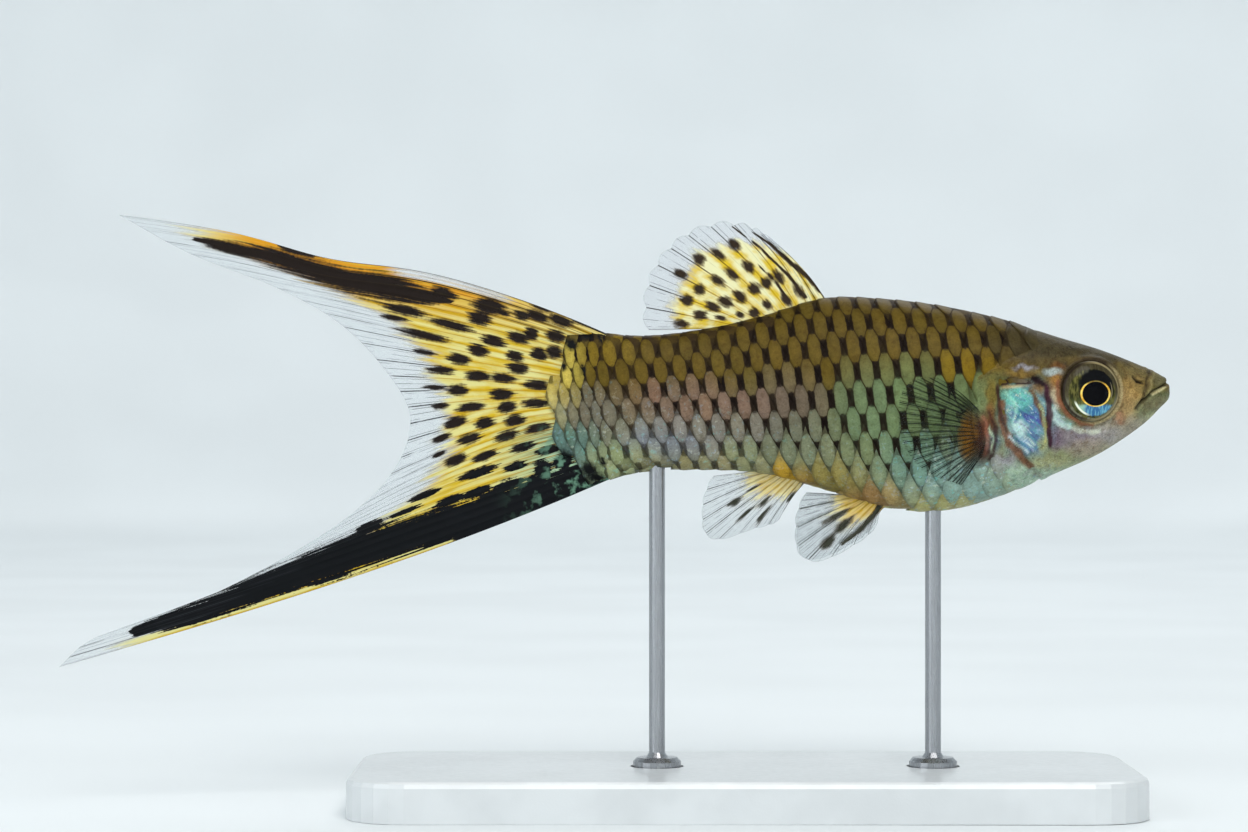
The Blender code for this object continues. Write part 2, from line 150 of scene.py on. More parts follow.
def ringPoint(behind, turn):  # side and level on the body, turn running from its left side over its back
    back, belly, widest, side, crown, keel = sectionAt(behind)
    c, s = np.cos(turn), np.sin(turn)
    power = np.where(s > 0, crown, keel)
    height = np.where(s > 0, back - widest, widest - belly)
    out = np.sign(c) * np.abs(c) ** (2 / power) * side
    return out, widest + np.sign(s) * np.abs(s) ** (2 / power) * height


flank = dict(placeStep=0.25, arcStep=0.1)  # how finely the flank is measured
flankPlaces = np.arange(0.0, 64.3, flank["placeStep"])
flankArcs = np.arange(-18.0, 15.0, flank["arcStep"])


def measureFlank():  # side and level by arc length from the scale line, for each place behind the snout
    turns = np.linspace(-math.pi / 2, math.pi / 2, 601)
    sides, levels, tops, feet = [], [], [], []
    start, height, slope = fish["scaleLine"]
    for behind in flankPlaces:
        side, level = ringPoint(behind, turns)
        arc = np.concatenate([[0], np.cumsum(np.hypot(np.diff(side), np.diff(level)))])
        arc -= np.interp(height + slope * (behind - start), level, arc)
        sides.append(np.interp(flankArcs, arc, side))
        levels.append(np.interp(flankArcs, arc, level))
        tops.append(arc[-1])
        feet.append(arc[0])
    return np.array(sides), np.array(levels), np.array(tops), np.array(feet)


flankSides, flankLevels, flankTops, flankFeet = measureFlank()


def flankEnds(behind):  # the arcs of the back and of the belly
    return np.interp(behind, flankPlaces, flankTops), np.interp(behind, flankPlaces, flankFeet)


def onFlank(behind, arc):  # side and level; an arc past the back or the belly comes down the other flank
    top, foot = flankEnds(behind)
    hand = np.where((arc > top) | (arc < foot), -1.0, 1.0)
    arc = np.where(arc > top, 2 * top - arc, np.where(arc < foot, 2 * foot - arc, arc))
    x = np.clip((behind - flankPlaces[0]) / flank["placeStep"], 0, len(flankPlaces) - 1.001)
    y = np.clip((arc - flankArcs[0]) / flank["arcStep"], 0, len(flankArcs) - 1.001)
    i, j = x.astype(int), y.astype(int)
    u, v = x - i, y - j
    found = []
    for table in (flankSides, flankLevels):
        low = table[i, j] * (1 - u) + table[i + 1, j] * u
        high = table[i, j + 1] * (1 - u) + table[i + 1, j + 1] * u
        found.append(low * (1 - v) + high * v)
    return found[0] * hand, found[1]


def flankPoint(behind, arc):
    side, level = onFlank(behind, arc)
    return np.stack(np.broadcast_arrays(-behind, side, level), -1)


def flankNormal(behind, arc, reach=0.3):
    along = flankPoint(behind - reach, arc) - flankPoint(behind + reach, arc)
    up = flankPoint(behind, arc + reach) - flankPoint(behind, arc - reach)
    return unit(np.cross(up, along))


# Small helpers for meshes


def deselectAll():
    if bpy.context.object and bpy.context.object.mode != "OBJECT":
        bpy.ops.object.mode_set(mode="OBJECT")
    bpy.ops.object.select_all(action="DESELECT")


def turnNormals(inside=False):  # the piece in hand has its faces turned outward, or inward, and shaded smooth
    bpy.ops.object.mode_set(mode="EDIT")
    bpy.ops.mesh.select_all(action="SELECT")
    bpy.ops.mesh.normals_make_consistent(inside=inside)
    bpy.ops.object.mode_set(mode="OBJECT")
    bpy.ops.object.shade_smooth()


def readPlaces(mesh):
    places = np.empty(len(mesh.vertices) * 3)
    mesh.vertices.foreach_get("co", places)
    return places.reshape(-1, 3)


def writePlaces(mesh, places):
    mesh.vertices.foreach_set("co", np.ascontiguousarray(places, np.float32).ravel())
    mesh.update()


def cornerVertices(mesh):
    corners = np.empty(len(mesh.loops), np.int32)
    mesh.loops.foreach_get("vertex_index", corners)
    return corners


def addNumber(mesh, name, values):
    numbers = mesh.attributes.new(name, "FLOAT", "POINT")
    numbers.data.foreach_set("value", np.asarray(values, np.float32).ravel())


def addColour(mesh, name, colours):
    full = np.ones((len(mesh.vertices), 4), np.float32)
    full[:, :3] = colours
    mesh.attributes.new(name, "FLOAT_COLOR", "POINT").data.foreach_set("color", full.ravel())


def addMap(mesh, name, cornerPlaces):
    layer = mesh.uv_layers.new(name=name)
    layer.uv.foreach_set("vector", np.asarray(cornerPlaces, np.float32).ravel())


def finishPiece(obj, name, material, nodes=()):
    obj.name = obj.data.name = name
    obj.data.materials.clear()
    obj.data.materials.append(material)
    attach(obj, "root")
    if nodes:
        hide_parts(*nodes)


# Small helpers for materials

work = dict(tree=None)  # the node tree that new nodes go into


class Wire:  # a node's output, which takes part in sums as a number does
    def __init__(self, socket):
        self.socket = socket

    def __abs__(self):
        return mathOf("ABSOLUTE", self)


def feed(node, name, value):
    if isinstance(value, Wire):
        work["tree"].links.new(value.socket, node.inputs[name])
    else:
        node.inputs[name].default_value = value


def newNode(kind, inputs=None, **settings):
    node = work["tree"].nodes.new("ShaderNode" + kind)
    for name, value in settings.items():
        setattr(node, name, value)
    for name, value in (inputs or {}).items():
        feed(node, name, value)
    return node


def wireFrom(kind, output, inputs=None, **settings):
    return Wire(newNode(kind, inputs, **settings).outputs[output])


def mathOf(operation, *values):
    return wireFrom("Math", 0, dict(enumerate(values)), operation=operation)


def addOperator(name, operation):
    setattr(Wire, f"__{name}__", lambda one, other: mathOf(operation, one, other))
    setattr(Wire, f"__r{name}__", lambda one, other: mathOf(operation, other, one))


signs = dict(add="ADD", sub="SUBTRACT", mul="MULTIPLY", truediv="DIVIDE", pow="POWER")
for sign, operation in signs.items():
    addOperator(sign, operation)


def between(value, low, high, toLow=0.0, toHigh=1.0):
    inputs = {"Value": value, "From Min": low, "From Max": high, "To Min": toLow, "To Max": toHigh}
    return wireFrom("MapRange", "Result", inputs, interpolation_type="SMOOTHSTEP")


def shade(red, green, blue):
    return (*[float(v) for v in linear(red, green, blue)], 1.0)


def mixColours(share, first, second, blend="MIX"):  # a plain colour is given as a screen shows it
    first, second = (shade(*tint) if isinstance(tint, tuple) else tint for tint in (first, second))
    return wireFrom("Mix", 2, {0: share, 6: first, 7: second}, data_type="RGBA", blend_type=blend)


def rampOf(value, *stops):  # a colour by value; the stops are (value, colour), rising
    node = newNode("ValToRGB", {"Fac": value})
    elements = node.color_ramp.elements
    for k, (spot, tint) in enumerate((stops[0], stops[-1])):
        elements[k].position = spot
        elements[k].color = shade(*tint)
    for spot, tint in stops[1:-1]:
        elements.new(spot).color = shade(*tint)
    return Wire(node.outputs["Color"])


def readNumber(name, output="Fac"):
    return wireFrom("Attribute", output, attribute_name=name)


def readMap(name):
    return wireFrom("UVMap", "UV", uv_map=name)


def objectPlaces():
    return wireFrom("TexCoord", "Object")


def stretched(where, scale, location=(0, 0, 0)):
    return wireFrom("Mapping", 0, {"Vector": where, "Scale": scale, "Location": location})


def parted(where):
    node = newNode("SeparateXYZ", {"Vector": where})
    return Wire(node.outputs["X"]), Wire(node.outputs["Y"])


def vectorOf(operation, inputs, output=0):
    return wireFrom("VectorMath", output, inputs, operation=operation)


def noiseAt(where, size, detail=3.0):  # size is the width of its patches in millimetres
    inputs = {"Vector": where, "Scale": 1 / (size * mm), "Detail": detail, "Roughness": 0.55}
    return wireFrom("TexNoise", "Fac", inputs)


def mapNoise(where, scale, detail):  # the same on a map, whose measure is the map's own
    return wireFrom("TexNoise", "Fac", {"Vector": where, "Scale": scale, "Detail": detail})


def foldPower(value, middle, half, power):  # the distance from the middle, in halves, raised to a power
    return (abs(value - middle) / half) ** power


def newMaterial(name, **fixed):  # the new material's tree is the one in work from here on
    material = bpy.data.materials.new(name)
    material.use_nodes = True
    work["tree"] = material.node_tree
    shader = material.node_tree.nodes["Principled BSDF"]
    for socket, value in fixed.items():
        feed(shader, socket, value)
    return material, shader


def addBump(shader, height, depth):  # depth in millimetres
    feed(shader, "Normal", wireFrom("Bump", "Normal", {"Height": height, "Distance": depth * mm}))


def newGroup(name, inputs, outputs):
    tree = work["tree"] = bpy.data.node_groups.new(name, "ShaderNodeTree")
    for socket, kind, value in inputs:
        made = tree.interface.new_socket(socket, in_out="INPUT", socket_type="NodeSocket" + kind)
        if value is not None:
            made.default_value = value
    for socket, kind in outputs:
        tree.interface.new_socket(socket, in_out="OUTPUT", socket_type="NodeSocket" + kind)
    given = {out.name: Wire(out) for out in tree.nodes.new("NodeGroupInput").outputs}
    return tree, given, tree.nodes.new("NodeGroupOutput")


def useGroup(group, inputs):
    return {out.name: Wire(out) for out in newNode("Group", inputs, node_tree=group).outputs}


# Effects that several finishes share


def makePigment():  # uneven skin colour with tiny dark pigment dots
    inputs = [("Colour", "Color", None), ("Unevenness", "Float", 0.3), ("Dots", "Float", 0.3)]
    tree, given, result = newGroup("pigment", inputs, [("Colour", "Color"), ("Dots", "Float")])
    where = objectPlaces()
    patches, fine = (noiseAt(where, size) - 0.5 for size in (0.9, 0.16))
    lift = (patches + fine) * given["Unevenness"] * 2.6 + 1.0
    freckle = between(noiseAt(where, 0.5, 5.0), 0.5, 0.68) * given["Unevenness"]
    cells = wireFrom("TexVoronoi", "Distance", {"Vector": where, "Scale": 1 / (0.17 * mm)})
    dots = between(cells, 0.34, 0.12) * between(noiseAt(where, 1.3), 0.42, 0.62)
    brighter = vectorOf("SCALE", {0: given["Colour"], "Scale": lift})
    brown = mixColours(1.0, brighter, (166, 134, 96), "MULTIPLY")
    mottled = mixColours(freckle, brighter, brown)
    feed(result, "Colour", mixColours(dots * given["Dots"], mottled, (34, 24, 18)))
    feed(result, "Dots", dots)
    return tree


def makeGuanineGlints():  # small silvery flecks, as guanine gives a fish, painted as glints: pale tints that stand in for their sparkle
    inputs = [("Amount", "Float", 0.5), ("Size", "Float", 0.3)]
    tree, given, result = newGroup("guanineGlints", inputs, [("Flecks", "Float"), ("Tint", "Color")])
    where = objectPlaces()
    cells = wireFrom("TexVoronoi", "Color", {"Vector": where, "Scale": 1 / mm / given["Size"]})
    picked = between(wireFrom("SeparateColor", 0, {"Color": cells}), 0.72, 0.86)
    ragged = between(noiseAt(where, 0.25), 0.42, 0.6)
    feed(result, "Flecks", picked * ragged * given["Amount"])
    tints = (0.38, (120, 215, 205)), (0.5, (160, 190, 225)), (0.62, (235, 240, 215))
    feed(result, "Tint", rampOf(noiseAt(where, 1.1, 1.0), *tints))
    return tree


def makeInk():  # black markings from a distance field whose edge is at 1, with a feathered rim
    inputs = [("Field", "Float", 2.0), ("Raggedness", "Float", 0.4), ("Softness", "Float", 0.14)]
    tree, given, result = newGroup("ink", inputs, [("Ink", "Float")])
    rough = noiseAt(objectPlaces(), 0.3, 4.0) - 0.5
    field = rough * given["Raggedness"] + given["Field"]
    feed(result, "Ink", between(field, 1.0 + given["Softness"], 1.0 - given["Softness"]))
    return tree


def makeRays():  # lines of one width along a fin's rays, from the map whose first number counts the rays
    inputs = [("Count", "Float", 0.0), ("Spacing", "Float", 1.0), ("Width", "Float", 0.1)]
    tree, given, result = newGroup("rays", inputs, [("Line", "Float")])
    away = mathOf("PINGPONG", given["Count"], 0.5)  # 0 on a ray, a half midway between two
    edge = away * given["Spacing"] - given["Width"] * 0.5
    feed(result, "Line", between(edge, 0.035, -0.035))
    return tree


pigment, guanineGlints, ink, rays = makePigment(), makeGuanineGlints(), makeInk(), makeRays()
print("shared effects ready")

# Body markings, painted as a model maker would: a ground colour, soft washes, then strokes

paint = dict(
    back=(82, 67, 24),
    olive=(90, 73, 22),
    flank=(94, 98, 64),
    belly=(146, 152, 112),
    rises=(-0.95, -0.2, 0.3, 0.97),  # where the ground colours lie: -1 is the belly's edge, 1 the back's
    washes=(  # behind, level, half length, half height, colour, strength
        (25.0, -1.5, 9.0, 4.6, (98, 118, 78), 0.85),
        (31.0, -1.6, 3.6, 4.4, (98, 116, 84), 0.75),
        (21.5, -8.2, 6.5, 3.0, (136, 166, 158), 0.85),
        (26.0, -6.4, 3.6, 2.4, (96, 132, 114), 0.7),
        (25.5, -11.0, 7.5, 1.5, (166, 162, 104), 0.9),
        (34.5, -8.6, 5.5, 1.7, (140, 122, 54), 0.8),
        (38.5, -1.4, 5.0, 3.6, (97, 84, 74), 0.8),
        (37.0, -4.6, 4.5, 2.2, (104, 110, 90), 0.7),
        (47.5, -0.7, 8.5, 2.2, (115, 92, 80), 0.85),
        (48.0, -3.7, 8.5, 1.9, (121, 116, 112), 0.8),
        (51.0, -4.6, 4.5, 1.3, (112, 120, 132), 0.7),
        (47.0, -6.7, 9.0, 1.0, (140, 132, 98), 0.8),
        (20.8, 3.0, 2.8, 1.1, (116, 92, 16), 0.85),
        (14.5, 5.8, 3.6, 1.9, (62, 54, 30), 0.9),
        (14.2, 3.6, 2.8, 1.0, (84, 68, 34), 0.85),
        (57.6, 4.9, 4.6, 2.4, (112, 92, 24), 0.85),
        (61.4, 2.4, 2.8, 4.4, (184, 164, 74), 0.85),
        (61.4, -1.4, 1.8, 1.6, (152, 148, 108), 0.8),
        (57.6, -1.6, 3.4, 2.4, (104, 98, 88), 0.7),
        (59.6, -5.0, 3.0, 2.0, (76, 108, 106), 0.8),
        (60.0, -7.6, 3.5, 1.3, (66, 98, 92), 0.7),
        (30.2, -10.1, 2.9, 1.0, (152, 108, 62), 0.75),
        (36.9, -7.9, 0.9, 0.9, (150, 118, 48), 0.8),
        (38.8, -7.7, 1.0, 0.9, (178, 138, 24), 0.85),
    ),
    strokes=(  # path, width, colour, strength
        (((56.9, -0.55), (54.5, -0.4), (51.9, -0.35), (48.5, -0.1), (45.4, -0.25)), 0.34, (100, 54, 40), 0.6),
    ),
    # each scale leans a little to one of these
    hues=((150, 112, 100), (116, 128, 150), (96, 138, 118), (128, 104, 66)),
    tailBlots=(  # behind, level, half length, half height
        (59.7, 5.1, 0.6, 0.6), (61.0, 4.4, 0.5, 0.35), (62.2, 2.2, 0.4, 0.3),
        (56.6, -6.5, 0.4, 0.5), (58.0, -7.3, 0.7, 0.8),
        (60.4, -6.4, 0.9, 1.0), (62.2, -7.6, 1.0, 1.0), (61.8, -5.2, 0.6, 0.7), (59.2, -8.6, 1.5, 0.8),
        (57.2, -8.1, 0.9, 0.5),
        (58.2, 6.0, 0.8, 0.5), (56.8, 5.8, 0.4, 0.6), (58.6, 2.5, 0.32, 0.75), (60.5, 2.9, 0.35, 0.5),
        (60.6, 5.4, 0.5, 0.4),
    ),
)

head = dict(
    lidDark=(52, 42, 28),
    lidPale=(150, 136, 98),
    lidLine=(58, 44, 26),
    matteBelow=300,  # strokes whose red, green and blue add up to less keep the silver off
    washes=(
        (9.0, 4.6, 9.5, 1.9, (62, 55, 34), 0.95),  # crown of the head
        (10.5, 3.2, 3.4, 0.8, (88, 74, 38), 0.8),
        (11.6, 3.0, 0.9, 0.45, (96, 56, 26), 0.7),
        (3.4, 2.2, 3.4, 1.2, (104, 92, 56), 0.9),
        (4.6, 0.4, 1.9, 1.6, (150, 122, 70), 0.85),
        (1.2, 1.5, 0.9, 0.7, (96, 92, 62), 0.8),
        (1.6, -0.9, 1.9, 0.9, (110, 106, 76), 0.9),
        (5.2, -3.3, 3.8, 1.6, (146, 138, 122), 0.9),
        (7.4, -4.0, 2.6, 1.0, (150, 146, 144), 0.8),
        (4.9, -1.0, 1.3, 1.6, (158, 130, 84), 0.8),
        (11.8, 0.6, 1.2, 2.0, (140, 98, 46), 0.9),
        (12.0, 0.1, 0.45, 0.6, (186, 176, 140), 0.7),
        (11.9, -1.1, 0.4, 0.5, (190, 184, 160), 0.7),
        (10.3, -4.2, 2.9, 1.3, (122, 110, 122), 0.8),
        (8.4, -5.2, 2.4, 1.0, (150, 138, 122), 0.8),
        (11.9, -4.0, 0.9, 1.5, (106, 84, 104), 0.7),
        (14.7, -2.2, 2.8, 3.9, (88, 128, 146), 0.9),  # gill cover
        (15.2, -1.6, 0.9, 1.0, (52, 120, 118), 0.8),
        (15.9, -0.2, 1.5, 1.2, (104, 182, 164), 0.9),
        (16.7, -2.4, 0.5, 1.6, (120, 150, 140), 0.7),
        (14.1, -2.2, 1.2, 1.3, (74, 76, 146), 0.9),
        # a painted reflection: the bright white patch on the gill cover
        (15.6, -3.2, 1.0, 0.8, (206, 228, 220), 0.95),
        (14.7, -4.9, 1.6, 0.9, (66, 92, 142), 0.9),
        (13.1, -4.7, 0.6, 0.8, (160, 164, 110), 0.8),
        (13.8, 0.7, 0.8, 0.7, (116, 82, 34), 0.85),
        (15.4, 2.1, 1.7, 0.5, (112, 88, 36), 0.9),
        (15.1, 2.75, 1.2, 0.26, (150, 150, 160), 0.7),
        (12.2, 2.35, 1.1, 0.36, (160, 176, 176), 0.75),
        (18.3, 0.2, 0.7, 1.6, (112, 96, 38), 0.9),
        (18.4, -2.0, 0.55, 1.5, (122, 86, 44), 0.9),
        (18.2, -4.6, 0.8, 1.3, (108, 158, 166), 0.9),
        (16.8, -6.7, 1.4, 1.0, (146, 134, 146), 0.7),
        (15.0, -8.0, 5.0, 1.3, (156, 174, 146), 0.85),
        (12.2, -6.6, 2.4, 0.7, (150, 150, 104), 0.8),
        (19.0, -4.2, 1.7, 2.9, (84, 46, 30), 0.97),  # root of the pectoral fin
        (20.7, -4.1, 0.85, 2.7, (160, 106, 18), 0.95),
    ),
    strokes=(  # path, width, colour, strength
        (((0.5, 1.25), (1.35, 0.75), (2.0, 0.4), (2.5, -0.1), (3.1, -0.6), (3.6, -1.4)),
         0.2, (40, 32, 20), 0.9),
        # a painted highlight along the lips, under the mouth line
        (((0.75, 0.85), (1.3, 0.5), (1.9, 0.15)), 0.22, (204, 196, 150), 0.75),
        (((2.1, 2.7), (2.5, 1.6), (2.9, 0.3), (3.1, -0.45), (3.7, -1.3)), 0.2, (44, 34, 20), 0.8),
        (((1.7, 2.3), (2.2, 1.1), (2.5, 0.3)), 0.16, (150, 140, 96), 0.5),
        (((3.95, 1.85), (3.6, 1.4), (3.1, 1.3)), 0.26, (22, 17, 12), 0.97),
        (((2.9, 2.2), (2.4, 2.5), (1.9, 2.35)), 0.2, (40, 34, 20), 0.6),
        (((5.2, 2.9), (4.6, 1.9), (4.3, 0.8), (4.7, -0.4)), 0.22, (92, 72, 36), 0.5),
        (((5.9, -1.7), (5.2, -1.55), (4.75, -2.1), (5.0, -2.75), (5.7, -2.8), (6.05, -2.2)),
         0.2, (126, 84, 60), 0.5),
        (((5.45, -1.95), (5.35, -2.55)), 0.85, (166, 122, 92), 0.7),
        (((12.6, -1.0), (12.2, -1.8), (11.5, -2.6), (10.6, -3.1)), 0.75, (190, 206, 200), 0.85),
        (((10.8, -3.0), (9.6, -3.45), (8.4, -3.65), (7.4, -3.5)), 0.42, (186, 192, 172), 0.7),
        (((11.75, 1.3), (11.8, 0.3), (11.4, -1.0), (10.4, -2.15), (9.4, -2.65), (8.3, -2.85)),
         0.42, (122, 76, 52), 0.85),
        (((13.9, 1.7), (13.0, 1.0), (12.6, -0.4), (12.55, -1.8), (12.7, -3.1), (12.3, -5.0)),
         0.62, (58, 24, 40), 0.95),
        (((14.4, 0.4), (13.7, -0.8), (13.1, -2.2), (12.95, -3.2)), 0.6, (96, 62, 24), 0.92),
        (((13.5, -0.9), (13.0, -2.2), (12.95, -3.4), (12.9, -4.6)), 0.22, (190, 184, 104), 0.8),
        (((17.4, 1.15), (16.4, 1.45), (15.2, 1.3), (14.6, 1.2)), 0.55, (44, 22, 12), 0.95),
        (((17.2, 0.75), (15.6, 0.9), (14.4, 0.75)), 0.2, (196, 152, 96), 0.6),
        (((14.2, 1.75), (13.7, 1.5), (13.3, 1.2)), 0.75, (28, 14, 18), 0.95),
        (((17.75, 0.9), (17.5, -0.4), (17.4, -1.6), (17.3, -2.6)), 0.42, (26, 34, 24), 0.95),
        (((17.35, -0.6), (17.1, -3.0), (16.4, -4.7), (15.3, -6.0), (14.1, -7.2)), 0.85, (112, 74, 50), 0.92),
        (((17.75, 1.0), (17.55, -0.6), (17.3, -2.2), (16.8, -3.6)), 0.34, (58, 34, 26), 0.9),
        # painted glints: pale streaks of reflection across the lower gill cover
        (((16.5, -4.0), (15.3, -5.1), (14.5, -5.6)), 0.2, (220, 232, 228), 0.85),
        (((15.9, -3.7), (14.6, -4.8), (14.0, -5.4)), 0.16, (196, 210, 222), 0.8),
        (((15.0, -3.9), (13.9, -4.9)), 0.16, (214, 226, 214), 0.8),
        (((16.9, 0.3), (16.2, -0.6), (15.9, -1.6), (16.3, -2.6)), 0.34, (168, 220, 196), 0.7),
        (((18.6, -3.0), (18.1, -4.2), (18.2, -5.6)), 0.2, (206, 226, 190), 0.7),
        (((18.6, -1.6), (17.9, -3.0), (17.9, -4.9), (18.4, -6.4)), 0.35, (46, 20, 22), 0.8),
        (((19.2, -2.0), (18.7, -3.6), (18.8, -5.8)), 0.35, (140, 90, 70), 0.6),
        (((19.8, -1.8), (19.4, -3.6), (19.5, -5.8)), 0.3, (60, 30, 22), 0.6),
        (((12.0, 3.6), (10.9, 3.1), (10.6, 2.4)), 0.3, (46, 36, 20), 0.5),
    ),
)


def reachFrom(behind, level, oval):  # the distance from an oval's middle, 1 on its edge
    middle, height, length, rise = oval[:4]
    return np.hypot((behind - middle) / length, (level - height) / rise)


def washOver(colour, tint, share):
    colour += (linear(*tint) - colour) * share[..., None]


def washAll(colour, behind, level, washes):
    for wash in washes:
        tint, strength = wash[4:]
        washOver(colour, tint, strength * ease(1.35, 0.4, reachFrom(behind, level, wash)))


def bodyColour(behind, level):  # the ground colour of skin and scales alike, as shader values
    back, belly, widest = sectionAt(behind)[:3]
    rise = np.where(level > widest, (level - widest) / (back - widest), (level - widest) / (widest - belly))
    rise = rise + 0.04 * wander(behind, level, 5.0, 3)
    shades = [linear(*paint[name]) for name in ("belly", "flank", "olive", "back")]
    colour = np.stack([np.interp(rise, paint["rises"], [s[k] for s in shades]) for k in range(3)], -1)
    x, y = behind + 0.35 * wander(behind, level, 2.2, 5), level + 0.25 * wander(behind, level, 2.2, 6)
    washAll(colour, x, y, paint["washes"])
    for path, width, tint, strength in paint["strokes"]:
        gap, _ = alongPath(x, y, path)
        share = strength * ease(width * 1.1, width * 0.2, gap + 0.12 * wander(behind, level, 0.5, 8))
        washOver(colour, tint, share)
    return colour


def fromEye(behind, level):  # the distance from the eye's edge
    middle, height, radius = skin["eye"]
    return np.hypot(behind - middle, level - height) - radius


def headColour(behind, level, colour):  # the painted colour, and where dark strokes keep the silver off
    matte = np.zeros(np.shape(behind))
    x = behind + 0.07 * wander(behind, level, 0.8, 11)
    y = level + 0.07 * wander(behind, level, 0.8, 12)
    ragged = [0.1 * wander(behind, level, 0.7, seed) for seed in (16, 17)]
    washAll(colour, x + ragged[0], y + ragged[1], head["washes"])
    reach = fromEye(behind, level)
    pale = (ease(0.8, -1.2, level) * ease(10.4, 8.6, behind) + ease(7.0, 5.6, behind)).clip(0, 1)[..., None]
    ring = 0.9 * ease(0.34, 0.2, reach)  # the lid: dark above and behind, pale in front and below
    lid = linear(*head["lidDark"]) * (1 - pale) + linear(*head["lidPale"]) * pale
    colour += (lid - colour) * ring[..., None]
    washOver(colour, head["lidLine"], 0.6 * bump(reach - 0.38, 0.08) * (1 - 0.5 * pale[..., 0]))
    uneven = 0.14 * wander(behind, level, 0.9, 18)
    for path, width, tint, strength in head["strokes"]:  # each stroke is widest in its middle
        gap, share = alongPath(x, y, path)
        half = width * 0.5 * (0.6 + 0.45 * np.sin(math.pi * np.clip(share, 0.08, 0.92)) + uneven)
        share = strength * ease(half + 0.13, half - 0.09, gap)
        washOver(colour, tint, share)
        matte = np.maximum(matte, share) if sum(tint) < head["matteBelow"] else matte * (1 - share)
    return colour, matte


# The skin: one closed surface from the lips to the root of the tail

skin = dict(
    around=280,
    lips=(12, 0.9, 1.6),  # how many rings, how far back they reach, and how much closer they stand in front
    headStep=0.14,  # from ring to ring on the head
    headEnd=20.0,
    rearRings=118,
    rearEnd=60.4,
    edgeWidth=0.3,  # half the skin's width where it closes on the caudal fin
    underScales=0.2,  # how far the skin lies inside the solids where the scales cover it
    # how much painted shade darkens the skin where the scales cover it
    shadeUnderScales=0.55,
    eye=(8.4, 0.45, 3.0),  # behind, level, radius
    orbit=(0.15, 0.22, 0.3),  # a ring around the eye: height, distance from the eye's edge, width
    orbitFurrow=(-0.06, 0.85, 0.3),
    socketDepth=1.7,
    # each groove: its path; the ridge beside it (height, distance, width); the groove (depth, width); and the
    # shares of the path between which the ridge and the groove fade in or out
    grooves=(
        (((0.35, 1.3), (0.8, 1.1), (1.35, 0.75), (2.0, 0.4), (2.5, -0.1), (3.1, -0.6), (3.6, -1.4)),
         (0.11, 0.42, 0.3), (0.5, 0.13), (1.0, 0.7), (1.02, 0.75)),  # the mouth
        (((2.1, 2.7), (2.5, 1.6), (2.9, 0.3), (3.1, -0.45), (3.7, -1.3)),  # the fold behind the lips
         (0.05, 0.35, 0.2), (0.24, 0.15), None, (0.0, 0.12)),
        (((3.95, 1.85), (3.6, 1.4), (3.1, 1.3)), (0.05, 0.3, 0.15), (0.3, 0.16), None, None),  # the nostril
        (((13.75, 1.75), (12.75, 0.9), (12.5, -0.8), (12.75, -3.1), (12.3, -5.0)),  # behind the cheek
         (0.06, 0.5, 0.3), (0.2, 0.2), None, None),
        (((14.2, 0.0), (13.5, -1.4), (12.9, -2.8), (12.8, -3.7)), (0.0, 0.5, 0.3), (0.1, 0.18), None, None),
        (((17.3, 1.3), (16.2, 1.55), (14.9, 1.4), (13.8, 1.7)),  # over the gill cover
         (0.07, 0.55, 0.3), (0.24, 0.2), None, None),
    ),
    gillRim=(0.1, 0.45, 0.5),  # the gill cover's thickened edge: height, distance in front of the edge, width
    gillDrop=(0.42, 1.1),  # the step down behind it, and how soon the shoulder rises again
    finRoot=(19.8, -4.0, 1.5, 2.7),  # the pectoral fin's: behind, level, half length, half height
    finRootRise=0.42,
    silver=((12.7, -0.9), (12.2, -1.7), (11.5, -2.4), (10.6, -2.9)),
    gillSilver=(15.1, -2.5, 2.4, 3.4),
    shoulderSilver=(18.3, -4.5, 1.0, 1.0),
)


def coatStart(level):  # how far behind the snout the scales start, by level
    rear = crossEdge("gillEdge", np.clip(level, -9.5, 1.6))
    low = rear + 1.9 + 0.6 * ease(-6.0, -9.0, level)
    return low - 2.4 * ease(1.6, 3.2, level) - 4.2 * ease(3.0, 5.2, level)


def underScales(behind, level):  # 1 where scales cover the skin, down to 0 on the head and at the tail's edge
    covered = ease(0.2, 2.0, behind - coatStart(level))
    return covered * ease(0.0, 1.5, crossEdge("rootEdge", level) + 2.0 - behind)


def gillStep(behind, level):  # the gill cover's free edge, and the drop to the shoulder behind it
    away = behind - crossEdge("gillEdge", level)
    cover = ease(2.0, 1.2, level) * ease(-9.4, -7.6, level)
    height, ahead, width = skin["gillRim"]
    depth, fade = skin["gillDrop"]
    drop = ease(-0.06, 0.16, away) * np.exp(-np.clip(away, 0, 9) / fade)
    return cover * (height * bump(away + ahead, width) - depth * drop)


def skinRelief(behind, level):  # how far the skin stands out of the plain form
    reach = fromEye(behind, level)
    rise = -skin["socketDepth"] * ease(0.03, -0.42, reach)
    for height, distance, width in (skin["orbit"], skin["orbitFurrow"]):
        rise += height * bump(reach - distance, width)
    for path, (height, distance, width), (depth, narrow), ridgeFade, grooveFade in skin["grooves"]:
        gap, share = alongPath(behind, level, path)
        ridge, groove = (ease(*fade, share) if fade else 1.0 for fade in (ridgeFade, grooveFade))
        rise += height * bump(gap - distance, width) * ridge - depth * bump(gap, narrow) * groove
    rise += gillStep(behind, level)
    rise += skin["finRootRise"] * ease(1.25, 0.7, reachFrom(behind, level, skin["finRoot"]))
    return rise - skin["underScales"] * underScales(behind, level)


